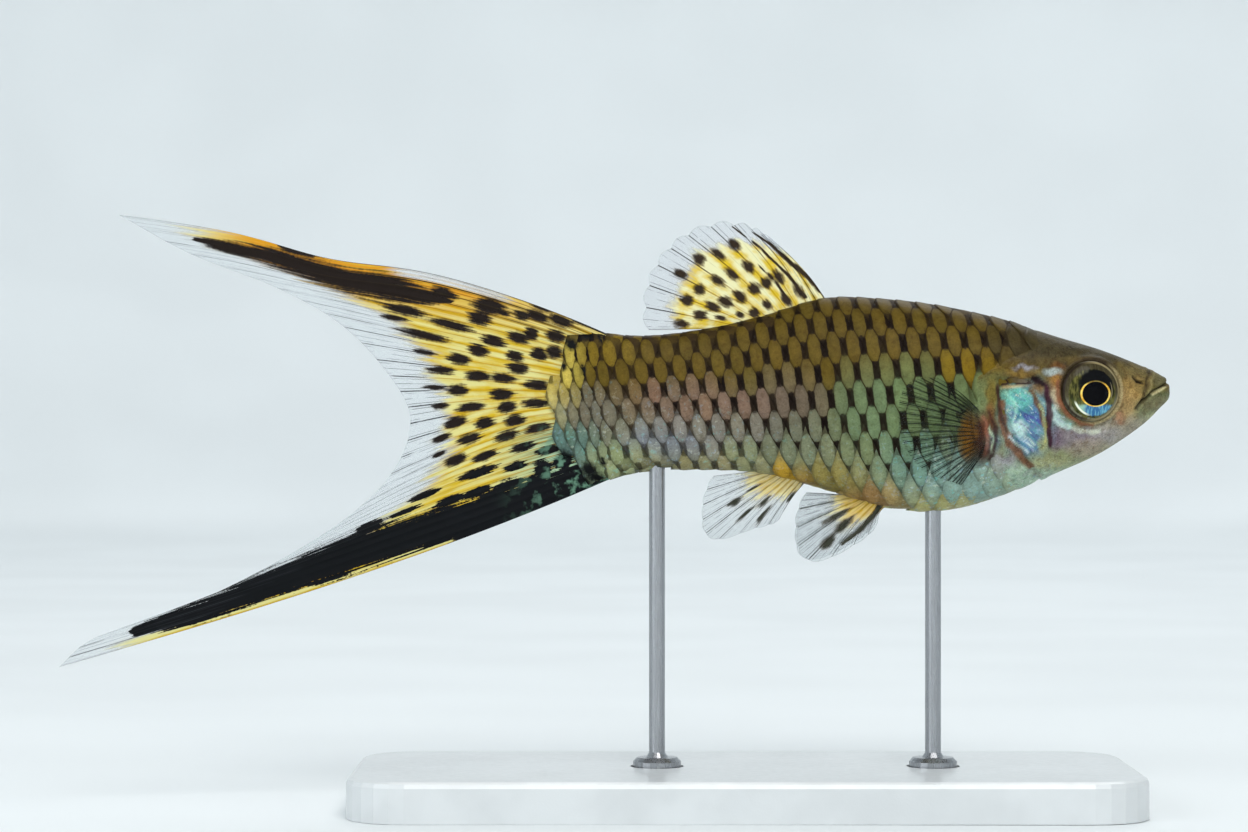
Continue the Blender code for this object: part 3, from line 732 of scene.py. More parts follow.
def makeSkinMaterial():
    fixed = {"Coat Weight": 0.03, "Coat Roughness": 0.12, "Specular IOR Level": 0.1}
    material, shader = newMaterial("fish skin", **fixed)
    pearl = readNumber("pearl")
    skinTone = useGroup(pigment, {"Colour": readNumber("paint", "Color"), "Unevenness": 0.5, "Dots": 0.65})
    shine = useGroup(guanineGlints, {"Amount": pearl, "Size": 0.22})
    where = objectPlaces()
    # the iridescence of the gill cover in slanting streaks, partly its own colour and partly a painted sheen
    # of reflected tints
    turn = {"Vector": where, "Rotation": (0, 0.6, 0), "Scale": (2.0, 1, 0.5)}
    slant = wireFrom("Mapping", 0, turn, vector_type="TEXTURE")
    tints = (
        (0.3, (60, 52, 104)), (0.41, (74, 92, 160)), (0.49, (90, 178, 164)),
        (0.56, (122, 150, 176)), (0.63, (150, 206, 180)), (0.7, (206, 216, 176)),
    )
    mixed = mixColours(pearl * 0.34, skinTone["Colour"], rampOf(noiseAt(slant, 1.5, 4.0), *tints))
    # painted glints: near-white streaks on the silvery skin
    glintStreak = between(noiseAt(slant, 0.6, 5.0), 0.58, 0.7) * pearl
    mixed = mixColours(glintStreak * 0.6, mixed, (214, 236, 226))
    # painted glints: the silvery flecks lighten the skin's colour
    mixed = mixColours(shine["Flecks"] * 0.45, mixed, shine["Tint"])
    feed(shader, "Base Color", mixed)
    feed(shader, "Roughness", between(pearl, 0.0, 1.0, 0.5, 0.34))
    feed(shader, "Metallic", pearl * 0.25)
    grain = noiseAt(where, 0.22) + noiseAt(where, 0.7) * 1.5 + glintStreak * 0.5
    addBump(shader, grain - skinTone["Dots"] * 0.3, 0.06)
    return material


def skinRings():  # how far behind the snout each ring of the skin lies
    count, reach, crowd = skin["lips"]
    lips = reach * (np.arange(count) / count) ** crowd
    rear = np.linspace(skin["headEnd"], skin["rearEnd"], skin["rearRings"])
    return np.concatenate([lips, np.arange(reach, skin["headEnd"], skin["headStep"]), rear])


def skinForm(rings, turns):  # the skin's places in millimetres, with behind and level, by ring and turn
    start = np.repeat(rings[:, None], len(turns), 1)
    behind = start
    for _ in range(6):  # the last rings bend to the edge where the caudal fin starts
        side, level = ringPoint(behind, turns[None])
        behind = start + ease(43.0, skin["rearEnd"], start) * (crossEdge("rootEdge", level) - skin["rearEnd"])
    side, level = ringPoint(behind, turns[None])
    thin = ease(3.0, 0.0, crossEdge("rootEdge", level) - behind)
    side = np.sign(side) * (np.abs(side) * (1 - thin) + np.minimum(np.abs(side), skin["edgeWidth"]) * thin)
    form = np.stack([-behind, side, level], -1)
    normal = unit(np.cross(np.gradient(form, axis=0), np.roll(form, -1, 1) - np.roll(form, 1, 1)))
    if (normal[:, 0, 1] < 0).mean() > 0.5:
        normal = -normal
    form += normal * skinRelief(behind, level)[..., None] * ease(-0.2, 0.5, behind)[..., None]
    return form, behind, level


def spreadSkin(mesh, rings):  # the sphere's own map, with room by the rings' places, and more for the head
    layer = mesh.uv_layers[0]
    layer.name = "OFBake"
    spread = np.empty(len(mesh.loops) * 2, np.float32)
    layer.uv.foreach_get("vector", spread)
    spread = spread.reshape(-1, 2)
    rows = np.concatenate([[0], rings + 0.05, [skin["rearEnd"] + 0.2]])
    headEnd, headRoom = skin["headEnd"], 1.5
    rows = np.where(rows < headEnd, rows * headRoom, headEnd * headRoom + (rows - headEnd))
    spread[:, 1] = np.interp(1 - spread[:, 1], np.linspace(0, 1, len(rows)), rows / rows[-1]) * 0.98 + 0.01
    layer.uv.foreach_set("vector", spread.ravel())


def makeSkin():
    rings, around = skinRings(), skin["around"]
    deselectAll()
    bpy.ops.mesh.primitive_uv_sphere_add(segments=around, ring_count=len(rings) + 1)
    obj = bpy.context.object
    ball = readPlaces(obj.data)
    ring = np.rint(np.arccos(np.clip(ball[:, 2], -1, 1)) / math.pi * (len(rings) + 1)).astype(int) - 1
    pole = (ring < 0) | (ring == len(rings))
    ring = np.clip(ring, 0, len(rings) - 1)
    step = np.rint(np.arctan2(ball[:, 1], ball[:, 0]) / math.tau * around).astype(int) % around
    form, behind, level = skinForm(rings, math.tau * np.arange(around) / around)
    places = form[ring, step]
    places[pole] = form.mean(1)[ring[pole]]
    writePlaces(obj.data, place(-places[:, 0], places[:, 1], places[:, 2]))
    b, l = behind[ring, step], level[ring, step]
    covered = underScales(b, l)
    colour, matte = headColour(b, l, bodyColour(b, l))
    colour *= (1 - skin["shadeUnderScales"] * np.maximum(covered - 0.5, 0))[:, None]  # painted shade: darker under the scales
    addColour(obj.data, "paint", np.clip(colour, 0, 1))
    # silver on the gill cover, the throat, the cheek's streak and the shoulder
    pearl = ease(1.15, 0.75, reachFrom(b, l, skin["gillSilver"])) + 0.6 * ease(-5.5, -8.5, l) * ease(6, 10, b)
    pearl += 0.8 * ease(0.7, 0.3, alongPath(b, l, skin["silver"])[0])
    pearl += 0.6 * ease(1.2, 0.4, reachFrom(b, l, skin["shoulderSilver"]))
    pearl = np.clip(pearl, 0, 1) * (1 - matte) * np.clip(ease(0.6, -0.4, covered) + 0.4, 0, 1)
    addNumber(obj.data, "pearl", pearl)
    spreadSkin(obj.data, rings)
    turnNormals()
    nodes = ("head", "upper_jaw", "lower_jaw", "gill_cover_left", "gill_cover_right", "trunk", "tail_stalk")
    finishPiece(obj, "skin", makeSkinMaterial(), nodes)


makeSkin()
print("skin made")

# Eyes

eye = dict(
    sunk=0.3,  # the eye's widest circle lies this far inside the flank
    bulge=1.05,
    depth=1.7,
    gaze=(0.27, -0.25),  # the pupil's middle, forward and up of the ball's own
    pupil=(1.37, 1.19),  # its half length and half height
    pupilRise=0.1,
    mapWidth=8,  # millimetres across the map of the eye's face
)


def makeEyeMaterial():
    fixed = {"Coat Weight": 0.6, "Coat Roughness": 0.04, "Coat IOR": 1.2, "Specular IOR Level": 0.02}
    material, shader = newMaterial("fish eye", Roughness=0.4, **fixed)
    width = eye["mapWidth"]
    where = stretched(readMap("EyeFace"), (width, width, 1), (-width / 2, -width / 2, 0))
    turned = vectorOf("SUBTRACT", {0: where, 1: (*eye["gaze"], 0)})
    fore, up = parted(turned)
    reach, outer = (vectorOf("LENGTH", {0: spot}, "Value") for spot in (turned, where))
    grain = noiseAt(objectPlaces(), 0.3)
    streaks = mapNoise(stretched(turned, (1, 0.3, 1)), 3.4, 4.0)
    wobble = (grain - 0.5) * 0.3
    x, y = fore + wobble, up + wobble

    def within(value, width, height, right=0.0, rise=0.0, soft=0.12):  # a soft oval around the pupil's middle
        away = foldPower(fore, right, width, 2.0) + foldPower(up, rise, height, 2.0)
        return between(away + value, 1 + soft, 1 - soft)

    def ringAt(distance, middle, half, soft):
        return between(abs(distance - middle), half + soft, half)

    iris = mixColours(between(streaks, 0.4, 0.66), (40, 42, 20), (104, 100, 50))
    green = between(y, -0.2, -1.0) * between(outer, 2.6, 2.2)
    iris = mixColours(green * 0.6, iris, (88, 96, 56))
    iris = mixColours(within(wobble * 0.8, 1.85, 1.75, 0.1, 0.8, 0.3), iris, (9, 10, 12))
    # a blue crescent under the pupil, glinting along its rear edge
    inBlue = between(abs(fore) * 0.1 + y, -0.8, -1.2) * between(reach + wobble, 2.26, 2.1)
    blue = mixColours(between(streaks, 0.42, 0.62), (52, 100, 146), (104, 164, 184))
    blue = mixColours(between(x, -0.7, -1.5), blue, (150, 186, 160))
    iris = mixColours(inBlue, iris, blue)
    rearLow = between(x, -0.3, -1.1) * between(y, -0.6, -1.1)
    iris = mixColours(ringAt(reach, 2.17, 0.05, 0.08) * rearLow, iris, (226, 232, 214))
    # the clear rim of the ball: dark above and behind, grey green below, with fine reflections in front
    rim = mixColours(between(y, 0.4, -1.4), (56, 50, 32), (118, 118, 96))
    rim = mixColours(between(streaks, 0.4, 0.7), rim, (74, 68, 48))
    iris = mixColours(between(up * 0.09 + (outer + wobble), 2.34, 2.5), iris, rim)
    line = mixColours(between(x, 0.6, -1.6), (146, 132, 94), (36, 26, 22))
    iris = mixColours(ringAt(outer, 2.84, 0.05, 0.11) * 0.85, iris, line)
    front = ringAt(outer, 2.02, 0.02, 0.05) * (between(x, 1.5, 1.8) * between(y, 1.5, 1.0))
    iris = mixColours(front * 0.7, iris, (158, 146, 116))
    # the thin gold ring, strongest fore and aft, and the black pupil
    length, height = eye["pupil"]
    gold = mixColours(between(grain, 0.35, 0.65), (214, 158, 44), (244, 214, 110))
    inRing = within(0.0, length + 0.2, height + 0.1, soft=0.05)
    inRing = inRing * (1.0 - between(y, 0.85, 1.15) * 0.75)
    face = mixColours(inRing, iris, gold)
    face = mixColours(within(0.0, length, height, soft=0.04), face, (2, 2, 5))
    feed(shader, "Base Color", face)
    feed(shader, "Metallic", inRing * 0.4)
    addBump(shader, grain, 0.02)
    return material


def makeEyes():
    material = makeEyeMaterial()
    behind, level, radius = skin["eye"]
    widths = [sectionAt(behind + step)[3] for step in (-0.5, 0, 0.5)]
    slope = widths[2] - widths[0]
    for name, hand in hands:
        deselectAll()
        bpy.ops.mesh.primitive_uv_sphere_add(segments=72, ring_count=48)
        obj = bpy.context.object
        x, y, z = readPlaces(obj.data).T  # the ball's pole becomes the middle of its face
        out = np.where(z > 0, eye["bulge"] * z, eye["depth"] * z)
        fore, up = radius * x, radius * y
        reach = reachFrom(fore, up, eye["gaze"] + eye["pupil"])
        out += (eye["pupilRise"] * ease(1.0, 0.7, reach) + 0.04 * bump(reach - 1.08, 0.07)) * (z > 0)
        foreAxis = unit(np.array([1.0, -hand * slope, 0.0]))
        outAxis = np.cross((0.0, 0.0, 1.0), foreAxis) * hand
        middle = np.array([-behind, hand * widths[1], level]) - outAxis * eye["sunk"]
        spot = middle + np.stack([fore, out, up], -1) @ np.array([foreAxis, outAxis, (0.0, 0.0, 1.0)])
        writePlaces(obj.data, place(-spot[:, 0], spot[:, 1], spot[:, 2]))
        # on its map, the ball's rear half lies around the front
        face = np.stack([fore, up], -1) * np.where(z < -0.01, 1.3, 1.0)[:, None]
        addMap(obj.data, "EyeFace", face[cornerVertices(obj.data)] / eye["mapWidth"] + 0.5)
        turnNormals()
        finishPiece(obj, "eye_ball_" + name, material, ("eye_" + name,))


makeEyes()
print("eyes made")

# Scales

scales = dict(
    columnPitch=(2.0, 1.9),  # before and behind column 0
    firstBehind=29.3,  # where column 0 of the line's own row has its light middle
    lean=0.33,  # each row up lies this much further back
    rowPitch=(2.57, 1.99),
    rowsUp=5,
    rowsDown=6,
    columns=(-10, 22),
    reach=(11.0, 63.5),  # no scale has its middle before or behind these
    lift=0.09,  # how far the free edge stands up
    thickness=0.055,
    rise=0.03,  # how far the whole coat stands off the form
    rootDip=0.35,
    tailPitch=0.62,  # how much closer the columns stand on the tail's root
    tailFrom=56.0,
    finRootBare=(20.0, -4.0, 2.1, 3.0),  # no scales around the pectoral fin's root
    finRootClear=(19.7, -4.1, 1.9, 2.9),  # and those beside it stay low
    across=8,
    along=4,
    bands=4,  # each flank's coat is made in this many pieces
    bandLength=13.0,
)


def rowPitch(behind):
    front, rear = scales["rowPitch"]
    return front + (rear - front) * ease(32.0, 52.0, behind)


def columnPlace(column):
    front, rear = scales["columnPitch"]
    plain = scales["firstBehind"] + np.where(column < 0, column * front, column * rear)
    late = np.maximum(plain - scales["tailFrom"], 0)
    return plain - late + late * scales["tailPitch"]


def columnPitch(behind):
    pitch = np.where(behind < scales["firstBehind"], *scales["columnPitch"])
    return pitch * np.where(behind > scales["tailFrom"], 0.5 + 0.5 * scales["tailPitch"], 1.0)


def scaleWanted(behind, level):  # which places of the lattice carry a scale
    bare = reachFrom(behind, level, scales["finRootBare"]) <= 1.0
    return (behind > coatStart(level)) & ~bare & (behind < crossEdge("rootEdge", level) + 2.5)


def ridgeRank(behind, over):  # which row the scales astride the back (over 1) or the belly (-1) stand for
    edge = flankEnds(behind)[0 if over > 0 else 1] / float(rowPitch(behind))
    return over * (math.floor(abs(edge) - 0.45) + 1)


def scaleLattice():  # each scale as (its light middle's behind, arc from the line, kind), on the left flank
    found = []
    first, last = scales["columns"]
    up, down = scales["rowsUp"], -scales["rowsDown"]
    for row in range(down, up + 1):
        for column in range(first, last):
            rank = row
            if row in (up, down):
                near = float(columnPlace(float(column))) + scales["lean"] * row
                rank = ridgeRank(near, 1 if row > 0 else -1)
            behind = float(columnPlace(column + 0.5 * (rank % 2))) + scales["lean"] * rank
            if not scales["reach"][0] < behind < scales["reach"][1]:
                continue
            top, foot = flankEnds(behind)
            pitch = rowPitch(behind)
            arc = row * float(pitch)
            if row in (up, down):
                arc = top if row == up else foot
            elif arc > top - 0.45 * pitch or arc < foot + 0.45 * pitch:
                continue
            _, level = onFlank(np.array(behind), np.array(arc))
            if scaleWanted(behind, float(level)):
                found.append((behind, arc, row, column, "ridge" if row in (up, down) else "side"))
    return found


def modelOneScale():  # a plate in its own measure: x from the free edge forward, y across, z its thickness
    deselectAll()
    bpy.ops.mesh.primitive_grid_add(x_subdivisions=scales["along"], y_subdivisions=scales["across"], size=2)
    obj = bpy.context.object
    bpy.ops.object.mode_set(mode="EDIT")
    bpy.ops.mesh.select_all(action="SELECT")
    bpy.ops.mesh.extrude_region_move(TRANSFORM_OT_translate={"value": (0, 0, -1)})
    bpy.ops.mesh.dissolve_faces()
    bpy.ops.object.mode_set(mode="OBJECT")
    turnNormals()
    places = readPlaces(obj.data)
    faces = [tuple(f.vertices) for f in obj.data.polygons]
    bpy.data.objects.remove(obj)
    return places, faces


def breast(behind, level):  # 1 where the scales hardly stand up or show
    return ease(27, 22, behind) * ease(0.5, -2.0, level)


def scaleLift(behind, level, forward, y, z, ridge):  # how far each place of a scale stands off the form
    inCoat = behind - coatStart(level)
    nape = ease(4.0, 1.0, inCoat) * ease(2.6, 4.0, level)  # the first roots here hardly dip
    lift = scales["lift"] * (1 - 1.2 * forward) * (1 - 0.9 * breast(behind, level))
    lift = lift - scales["rootDip"] * ease(1.05, 1.4, forward) * (1 - 0.85 * nape)
    lift = lift - 0.045 * ease(0.62, 1.0, np.abs(y)) - np.where(ridge, 0.2, 0.0) * ease(0.25, 0.8, np.abs(y))
    lift = lift + scales["rise"] - (z < -0.5) * scales["thickness"]
    lift = lift - 0.13 * (1 - ease(0.2, 3.2, inCoat)) + gillStep(behind, level)
    lift = lift - 0.5 * ease(1.15, 0.95, reachFrom(behind, level, scales["finRootClear"]))
    lift = lift - np.where(ridge, 0.09, 0.0) * ease(0.6, 0.0, forward)  # those astride the back lie flat
    return lift * ease(68.0, 59.0, behind)


def scaleForm(template, found, hand):
    # each vertex's place on the flank, its place on the scale's face, and how far behind and how high it lies
    behind, arc = (np.array([s[k] for s in found], float)[:, None] for k in range(2))
    ridge = np.array([s[4] == "ridge" for s in found])[:, None]
    rowHeight = rowPitch(behind)
    x, y, z = ((template[:, k])[None] for k in range(3))
    share = (x + 1) / 2  # 0 at the free edge, 1 at the hidden root
    share = share * (0.35 + 0.65 * share)  # finer steps by the free edge
    forward = share * (1.5 - 0.3 * np.abs(y) ** 2)
    across = y * 1.04
    top, foot = flankEnds(behind)
    rows = arc / rowHeight  # a ridge scale reaches as far as the next row
    last = np.sign(rows) * np.floor(np.abs(rows) - 0.45)
    high = rowHeight * np.where(ridge, np.clip(np.abs(rows - last), 0.7, 1.5), 1.0)
    around = arc + across * high
    around = np.where(ridge, around, np.clip(around, foot, top))
    point = (np.hypot(y, 0.15) - 0.15) / (math.hypot(1, 0.15) - 0.15)  # the free edge runs to a blunt point
    back = 0.5 - 0.52 * point - forward
    upward = np.where(ridge, -np.sign(rows) * np.abs(across), across) * high / rowHeight
    where = behind + columnPitch(behind) * back + scales["lean"] * upward
    level = onFlank(where, around)[1]
    lift = scaleLift(where, level, forward, y, z, ridge)
    spot = flankPoint(where, around) + flankNormal(where, around) * lift[..., None]
    spot[..., 1] *= hand
    return spot, back + 0 * where, across + 0 * where, where, level


def oddness(row, column, kind):  # an even random number from 0 to 1 for each place of the lattice
    mixed = np.sin(row * 12.9898 + column * 78.233 + kind * 37.719) * 43758.5453
    return mixed - np.floor(mixed)


def makeScaleMaterial():
    material, shader = newMaterial("fish scales", **{"Specular IOR Level": 0.06})
    where = stretched(readMap("ScaleFace"), (4, 4, 1), (-2, -2, 0))
    back, across = parted(where)
    solid = objectPlaces()
    rough = noiseAt(solid, 0.4, 5.0) - 0.5
    pearl = readNumber("pearl")
    skinTone = useGroup(pigment, {"Colour": readNumber("paint", "Color"), "Unevenness": 0.3, "Dots": 0.2})
    shine = useGroup(guanineGlints, {"Amount": pearl, "Size": 0.3})
    # painted glints: silvery flecks lighten the plates' colour
    plate = mixColours(shine["Flecks"] * 0.4, skinTone["Colour"], shine["Tint"])
    # each plate shows a light pointed oval, dark lines where the rows cross and a black patch fore and aft
    oval = rough * 0.5 + (foldPower(back, 0.0, 0.34, 2.1) + foldPower(across, 0.0, 0.68, 2.1))
    plate = vectorOf("SCALE", {0: plate, "Scale": between(oval, 0.1, 0.95, 1.06, 0.9)})
    around = between(oval, 0.94, 1.08) * readNumber("outline")
    uneven = between(noiseAt(solid, 1.4), 0.35, 0.6, 0.6, 0.95)
    plate = mixColours(around * uneven, plate, (48, 36, 20))
    foreAndAft = foldPower(abs(back), 0.5, 0.185, 3.5) + foldPower(across, 0.0, 0.38, 3.5)
    aboveAndBelow = foldPower(back, 0.0, 0.185, 3.5) + foldPower(abs(across), 1.0, 0.38, 3.5)
    patch = between(rough * 2.6 + mathOf("MINIMUM", foreAndAft, aboveAndBelow), 1.4, 0.6)
    plate = mixColours(patch * readNumber("patch"), plate, (19, 11, 8))
    ripe = useGroup(ink, {"Field": readNumber("blot"), "Raggedness": 0.9, "Softness": 0.45})
    plate = mixColours(ripe["Ink"], plate, (14, 16, 17))
    feed(shader, "Base Color", plate)
    feed(shader, "Roughness", between(around, 0.0, 1.0, 0.4, 0.55))
    feed(shader, "Metallic", pearl * 0.2)
    # growth rings around the middle of the plate
    off = vectorOf("SUBTRACT", {0: where, 1: (-0.7, 0, 0)})
    circles = mathOf("SINE", rough * 1.5 + vectorOf("LENGTH", {0: off}, "Value") * 80.0)
    addBump(shader, circles * 0.12 + noiseAt(solid, 0.4), 0.03)
    return material


def scaleColour(b, l, row, column, where, level):
    x, y = 0.7 * b + 0.3 * where, 0.7 * l + 0.3 * level  # each scale keeps nearly one colour
    colour, _ = headColour(x, y, bodyColour(x, y))
    lean = 0.3 + 0.7 * ease(36, 44, b) * ease(2.5, 0.5, l)
    hues = np.array([linear(*hue) for hue in paint["hues"]])
    hue = hues[(oddness(row, column, 2) * len(hues)).astype(int)[:, 0]][:, None]
    colour *= (hue / hue.mean(-1, keepdims=True)) ** (0.12 * lean * oddness(row, column, 1))[..., None]
    colour *= (0.94 + 0.13 * oddness(row, column, 3) * ease(16, 22, b))[..., None]
    return np.clip(colour, 0, 1).reshape(-1, 3)


def patchDarkness(b, l, rise, row, column, back, across):  # how dark each scale's black patches are
    patch = ease(0.16, 0.34, rise) * ease(13.0, 19.0, b) * (1 - 0.6 * ease(40, 48, b) * ease(0.5, -3.5, l))
    patch = patch * (1 - 0.35 * ease(50, 56, b)) * (1 - breast(b + 1, l)) * (1 - 0.5 * ease(0.86, 0.97, rise))
    patch = patch * (1 - 0.45 * ease(41, 47, b) * ease(1.5, 3.5, l))
    patch = np.maximum(patch, 0.75 * ease(39, 43, b) * ease(60, 56, b) * ease(-4.2, -5.4, l))
    patch = np.maximum(patch, 1.1 * ease(55.5, 57.5, b) * ease(2.8, 4.4, l))
    even = np.where(row % 2 == 0, -1, 0)  # a patch keeps its darkness on all the scales that it crosses
    neighbours = (0, 0), (0, -1), (1, even), (-1, even)
    rear, front, above, below = (
        0.55 + 0.45 * oddness(row + up, column + on, 4) ** 0.5 for up, on in neighbours
    )
    beside = np.where(across > 0, above, below)
    return patch * np.where(np.abs(across) > 0.62, beside, np.where(back > 0, rear, front))


def outlineStrength(b, l, rise):
    outline = (0.25 + 0.75 * ease(0.08, 0.3, rise)) * (0.25 + 0.75 * ease(12.5, 20.0, b))
    outline = outline * (1 - 0.9 * breast(b + 1, l)) * (1 - 0.3 * ease(42, 48, b) * ease(1.5, 0.0, l))
    return outline * (1 - 0.8 * ease(57.5, 62.0, b) * ease(5.0, 3.0, l))


def bakeCells(template, count):  # one cell of the bake map for each scale, its rim along the cell's margin
    wide = math.ceil(math.sqrt(count))
    margin = np.where(template[:, 2] < -0.5, 0.97, 0.86)
    cell = template[:, :2] * margin[:, None] / 2 + 0.5
    at = np.stack([np.arange(count) % wide, np.arange(count) // wide], -1)
    return ((at[:, None] + cell[None]) / wide).reshape(-1, 2)


def scalePiece(name, template, faces, found, hand, material):
    spot, back, across, where, level = scaleForm(template, found, hand)
    each, count = len(template), len(found)
    allFaces = [tuple(v + k * each for v in face)[::hand] for k in range(count) for face in faces]
    mesh = bpy.data.meshes.new(name)
    mesh.from_pydata(place(-spot[..., 0], spot[..., 1], spot[..., 2]).reshape(-1, 3).tolist(), [], allFaces)
    b, arc, row, column = (np.array([[s[k]] for s in found], float) for k in range(4))
    l = onFlank(b, arc)[1]
    spine, belly = sectionAt(b)[:2]
    rise = (l - belly) / (spine - belly)
    addColour(mesh, "paint", scaleColour(b, l, row, column, where, level))
    inFull = ease(0.3, 3.4, where - coatStart(level))  # the markings fade out towards the head
    patch = patchDarkness(b, l, rise, row, column, back, across) * inFull
    addNumber(mesh, "patch", np.clip(patch, 0, 1))
    addNumber(mesh, "outline", np.clip(outlineStrength(b, l, rise), 0, 1) * (0.1 + 0.9 * inFull))
    pearl = ease(0.5, 0.2, rise) * (0.3 + 0.7 * ease(30, 24, b)) + 0.25 * ease(40, 46, b) * ease(2.0, 0.0, l)
    addNumber(mesh, "pearl", np.clip(pearl, 0, 1) + 0 * where)
    blots = [reachFrom(where, level, blot) for blot in paint["tailBlots"]]
    addNumber(mesh, "blot", np.minimum.reduce(blots + [np.full(where.shape, 3.0)]))
    corners = cornerVertices(mesh)
    face = np.stack([back, across], -1).reshape(-1, 2) / 4 + 0.5
    addMap(mesh, "ScaleFace", face[corners])
    addMap(mesh, "OFBake", bakeCells(template, count)[corners])
    obj = bpy.data.objects.new(name, mesh)
    bpy.context.scene.collection.objects.link(obj)
    mesh.polygons.foreach_set("use_smooth", [True] * len(mesh.polygons))
    finishPiece(obj, name, material)


def makeScales():
    template, faces = modelOneScale()
    material = makeScaleMaterial()
    lattice = scaleLattice()
    for name, hand in hands:
        ours = [s for s in lattice if s[4] == "side" or s[3] % 2 == (0 if hand > 0 else 1)]
        last = scales["bands"] - 1
        band = [min(int((s[0] - scales["reach"][0]) / scales["bandLength"]), last) for s in ours]
        for k in range(scales["bands"]):
            found = [s for s, own in zip(ours, band) if own == k]
            scalePiece(f"scales_{name}_{k + 1}", template, faces, found, hand, material)
    print(len(lattice), "scales on each flank")


makeScales()
print("scales made")

# Fins

fins = dict(
    web=0.09,  # half thickness of the web at the edge
    rayRelief=0.05,
    rootWeb=0.3,
    edgeThin=0.75,  # how much thinner the web is at the very edge
    sideThin=0.6,
    fade=(0.93, 0.4, 0.22),  # shares of a ray: where the edge starts, the relief is whole and the root ends
)


def finSheet(pointAt, acrossSteps, alongSteps, count):
    # a flat grid is laid on the fin's middle surface, given a thickness, and raised along the rays
    deselectAll()
    bpy.ops.mesh.primitive_grid_add(x_subdivisions=acrossSteps, y_subdivisions=alongSteps, size=2)
    obj = bpy.context.object
    mesh = obj.data
    s, t = (readPlaces(mesh)[:, :2].T + 1) / 2
    writePlaces(mesh, pointAt(s, t) * mm)
    addNumber(mesh, "s", s)
    addNumber(mesh, "t", t)
    bpy.ops.object.modifier_add(type="SOLIDIFY")
    obj.modifiers[-1].thickness = 0.2 * mm
    obj.modifiers[-1].offset = 0
    bpy.ops.object.modifier_apply(modifier=obj.modifiers[-1].name)
    mesh = obj.data
    s, t = (np.array([v.value for v in mesh.attributes[k].data]) for k in ("s", "t"))
    middle = pointAt(s, t)
    small = 1e-3
    low, high = np.maximum(s - small, 0), np.minimum(s + small, 1)
    across = pointAt(high, t) - pointAt(low, t)
    down = pointAt(s, np.minimum(t + small, 1)) - pointAt(s, np.maximum(t - small, 0))
    normal = unit(np.cross(across, down))
    outward = np.sign(((readPlaces(mesh) / mm - middle) * normal).sum(1))
    edgeFrom, reliefFrom, rootEnd = fins["fade"]
    ridge = (np.cos(math.tau * s * count) * 0.5 + 0.5) * ease(1.0, reliefFrom, t)
    half = fins["web"] + (fins["rootWeb"] - fins["web"]) * ease(rootEnd, 0.0, t) + fins["rayRelief"] * ridge
    half = half * (1 - fins["edgeThin"] * ease(edgeFrom, 1.0, t))
    half = half * (1 - fins["sideThin"] * ease(0.01, 0.0, np.minimum(s, 1 - s)))
    writePlaces(mesh, (middle + normal * (outward * half)[:, None]) * mm)
    addMap(mesh, "RayFace", np.stack([s * count, t * 10], -1)[cornerVertices(mesh)])
    addNumber(mesh, "spacing", np.linalg.norm(across, axis=1) / np.maximum(high - low, 1e-9) / count)
    turnNormals()
    return obj, s, t, middle, down


def placeOnSide(middle):  # behind and level of places on a fin
    return fish["snoutX"] - middle[:, 0], middle[:, 2] - fish["axisHeight"]


def spotField(middle, down, spots, size):  # how near each place is to a spot's middle: 1 is the spot's edge
    b, l = placeOnSide(middle)
    run = unit(np.stack([-down[:, 0], down[:, 2]], -1))
    field = np.full(len(b), 4.0)
    for k, spot in enumerate(spots):
        length, height = spot[2:] if len(spot) > 2 else size
        odd = 0.85 + 0.35 * oddness(k, 3, 7)  # some are longer and narrower than others
        dx, dy = b - spot[0], l - spot[1]
        lengthwise, crosswise = dx * run[:, 0] + dy * run[:, 1], dy * run[:, 0] - dx * run[:, 1]
        field = np.minimum(field, np.hypot(lengthwise / (length * odd), crosswise / (height * (2.05 - odd))))
    return field


def bandField(middle, band):  # the same for a band along a path of (behind, level, half width)
    gap, share = alongPath(*placeOnSide(middle), [p[:2] for p in band])
    return gap / np.interp(share, np.linspace(0, 1, len(band)), [p[2] for p in band])


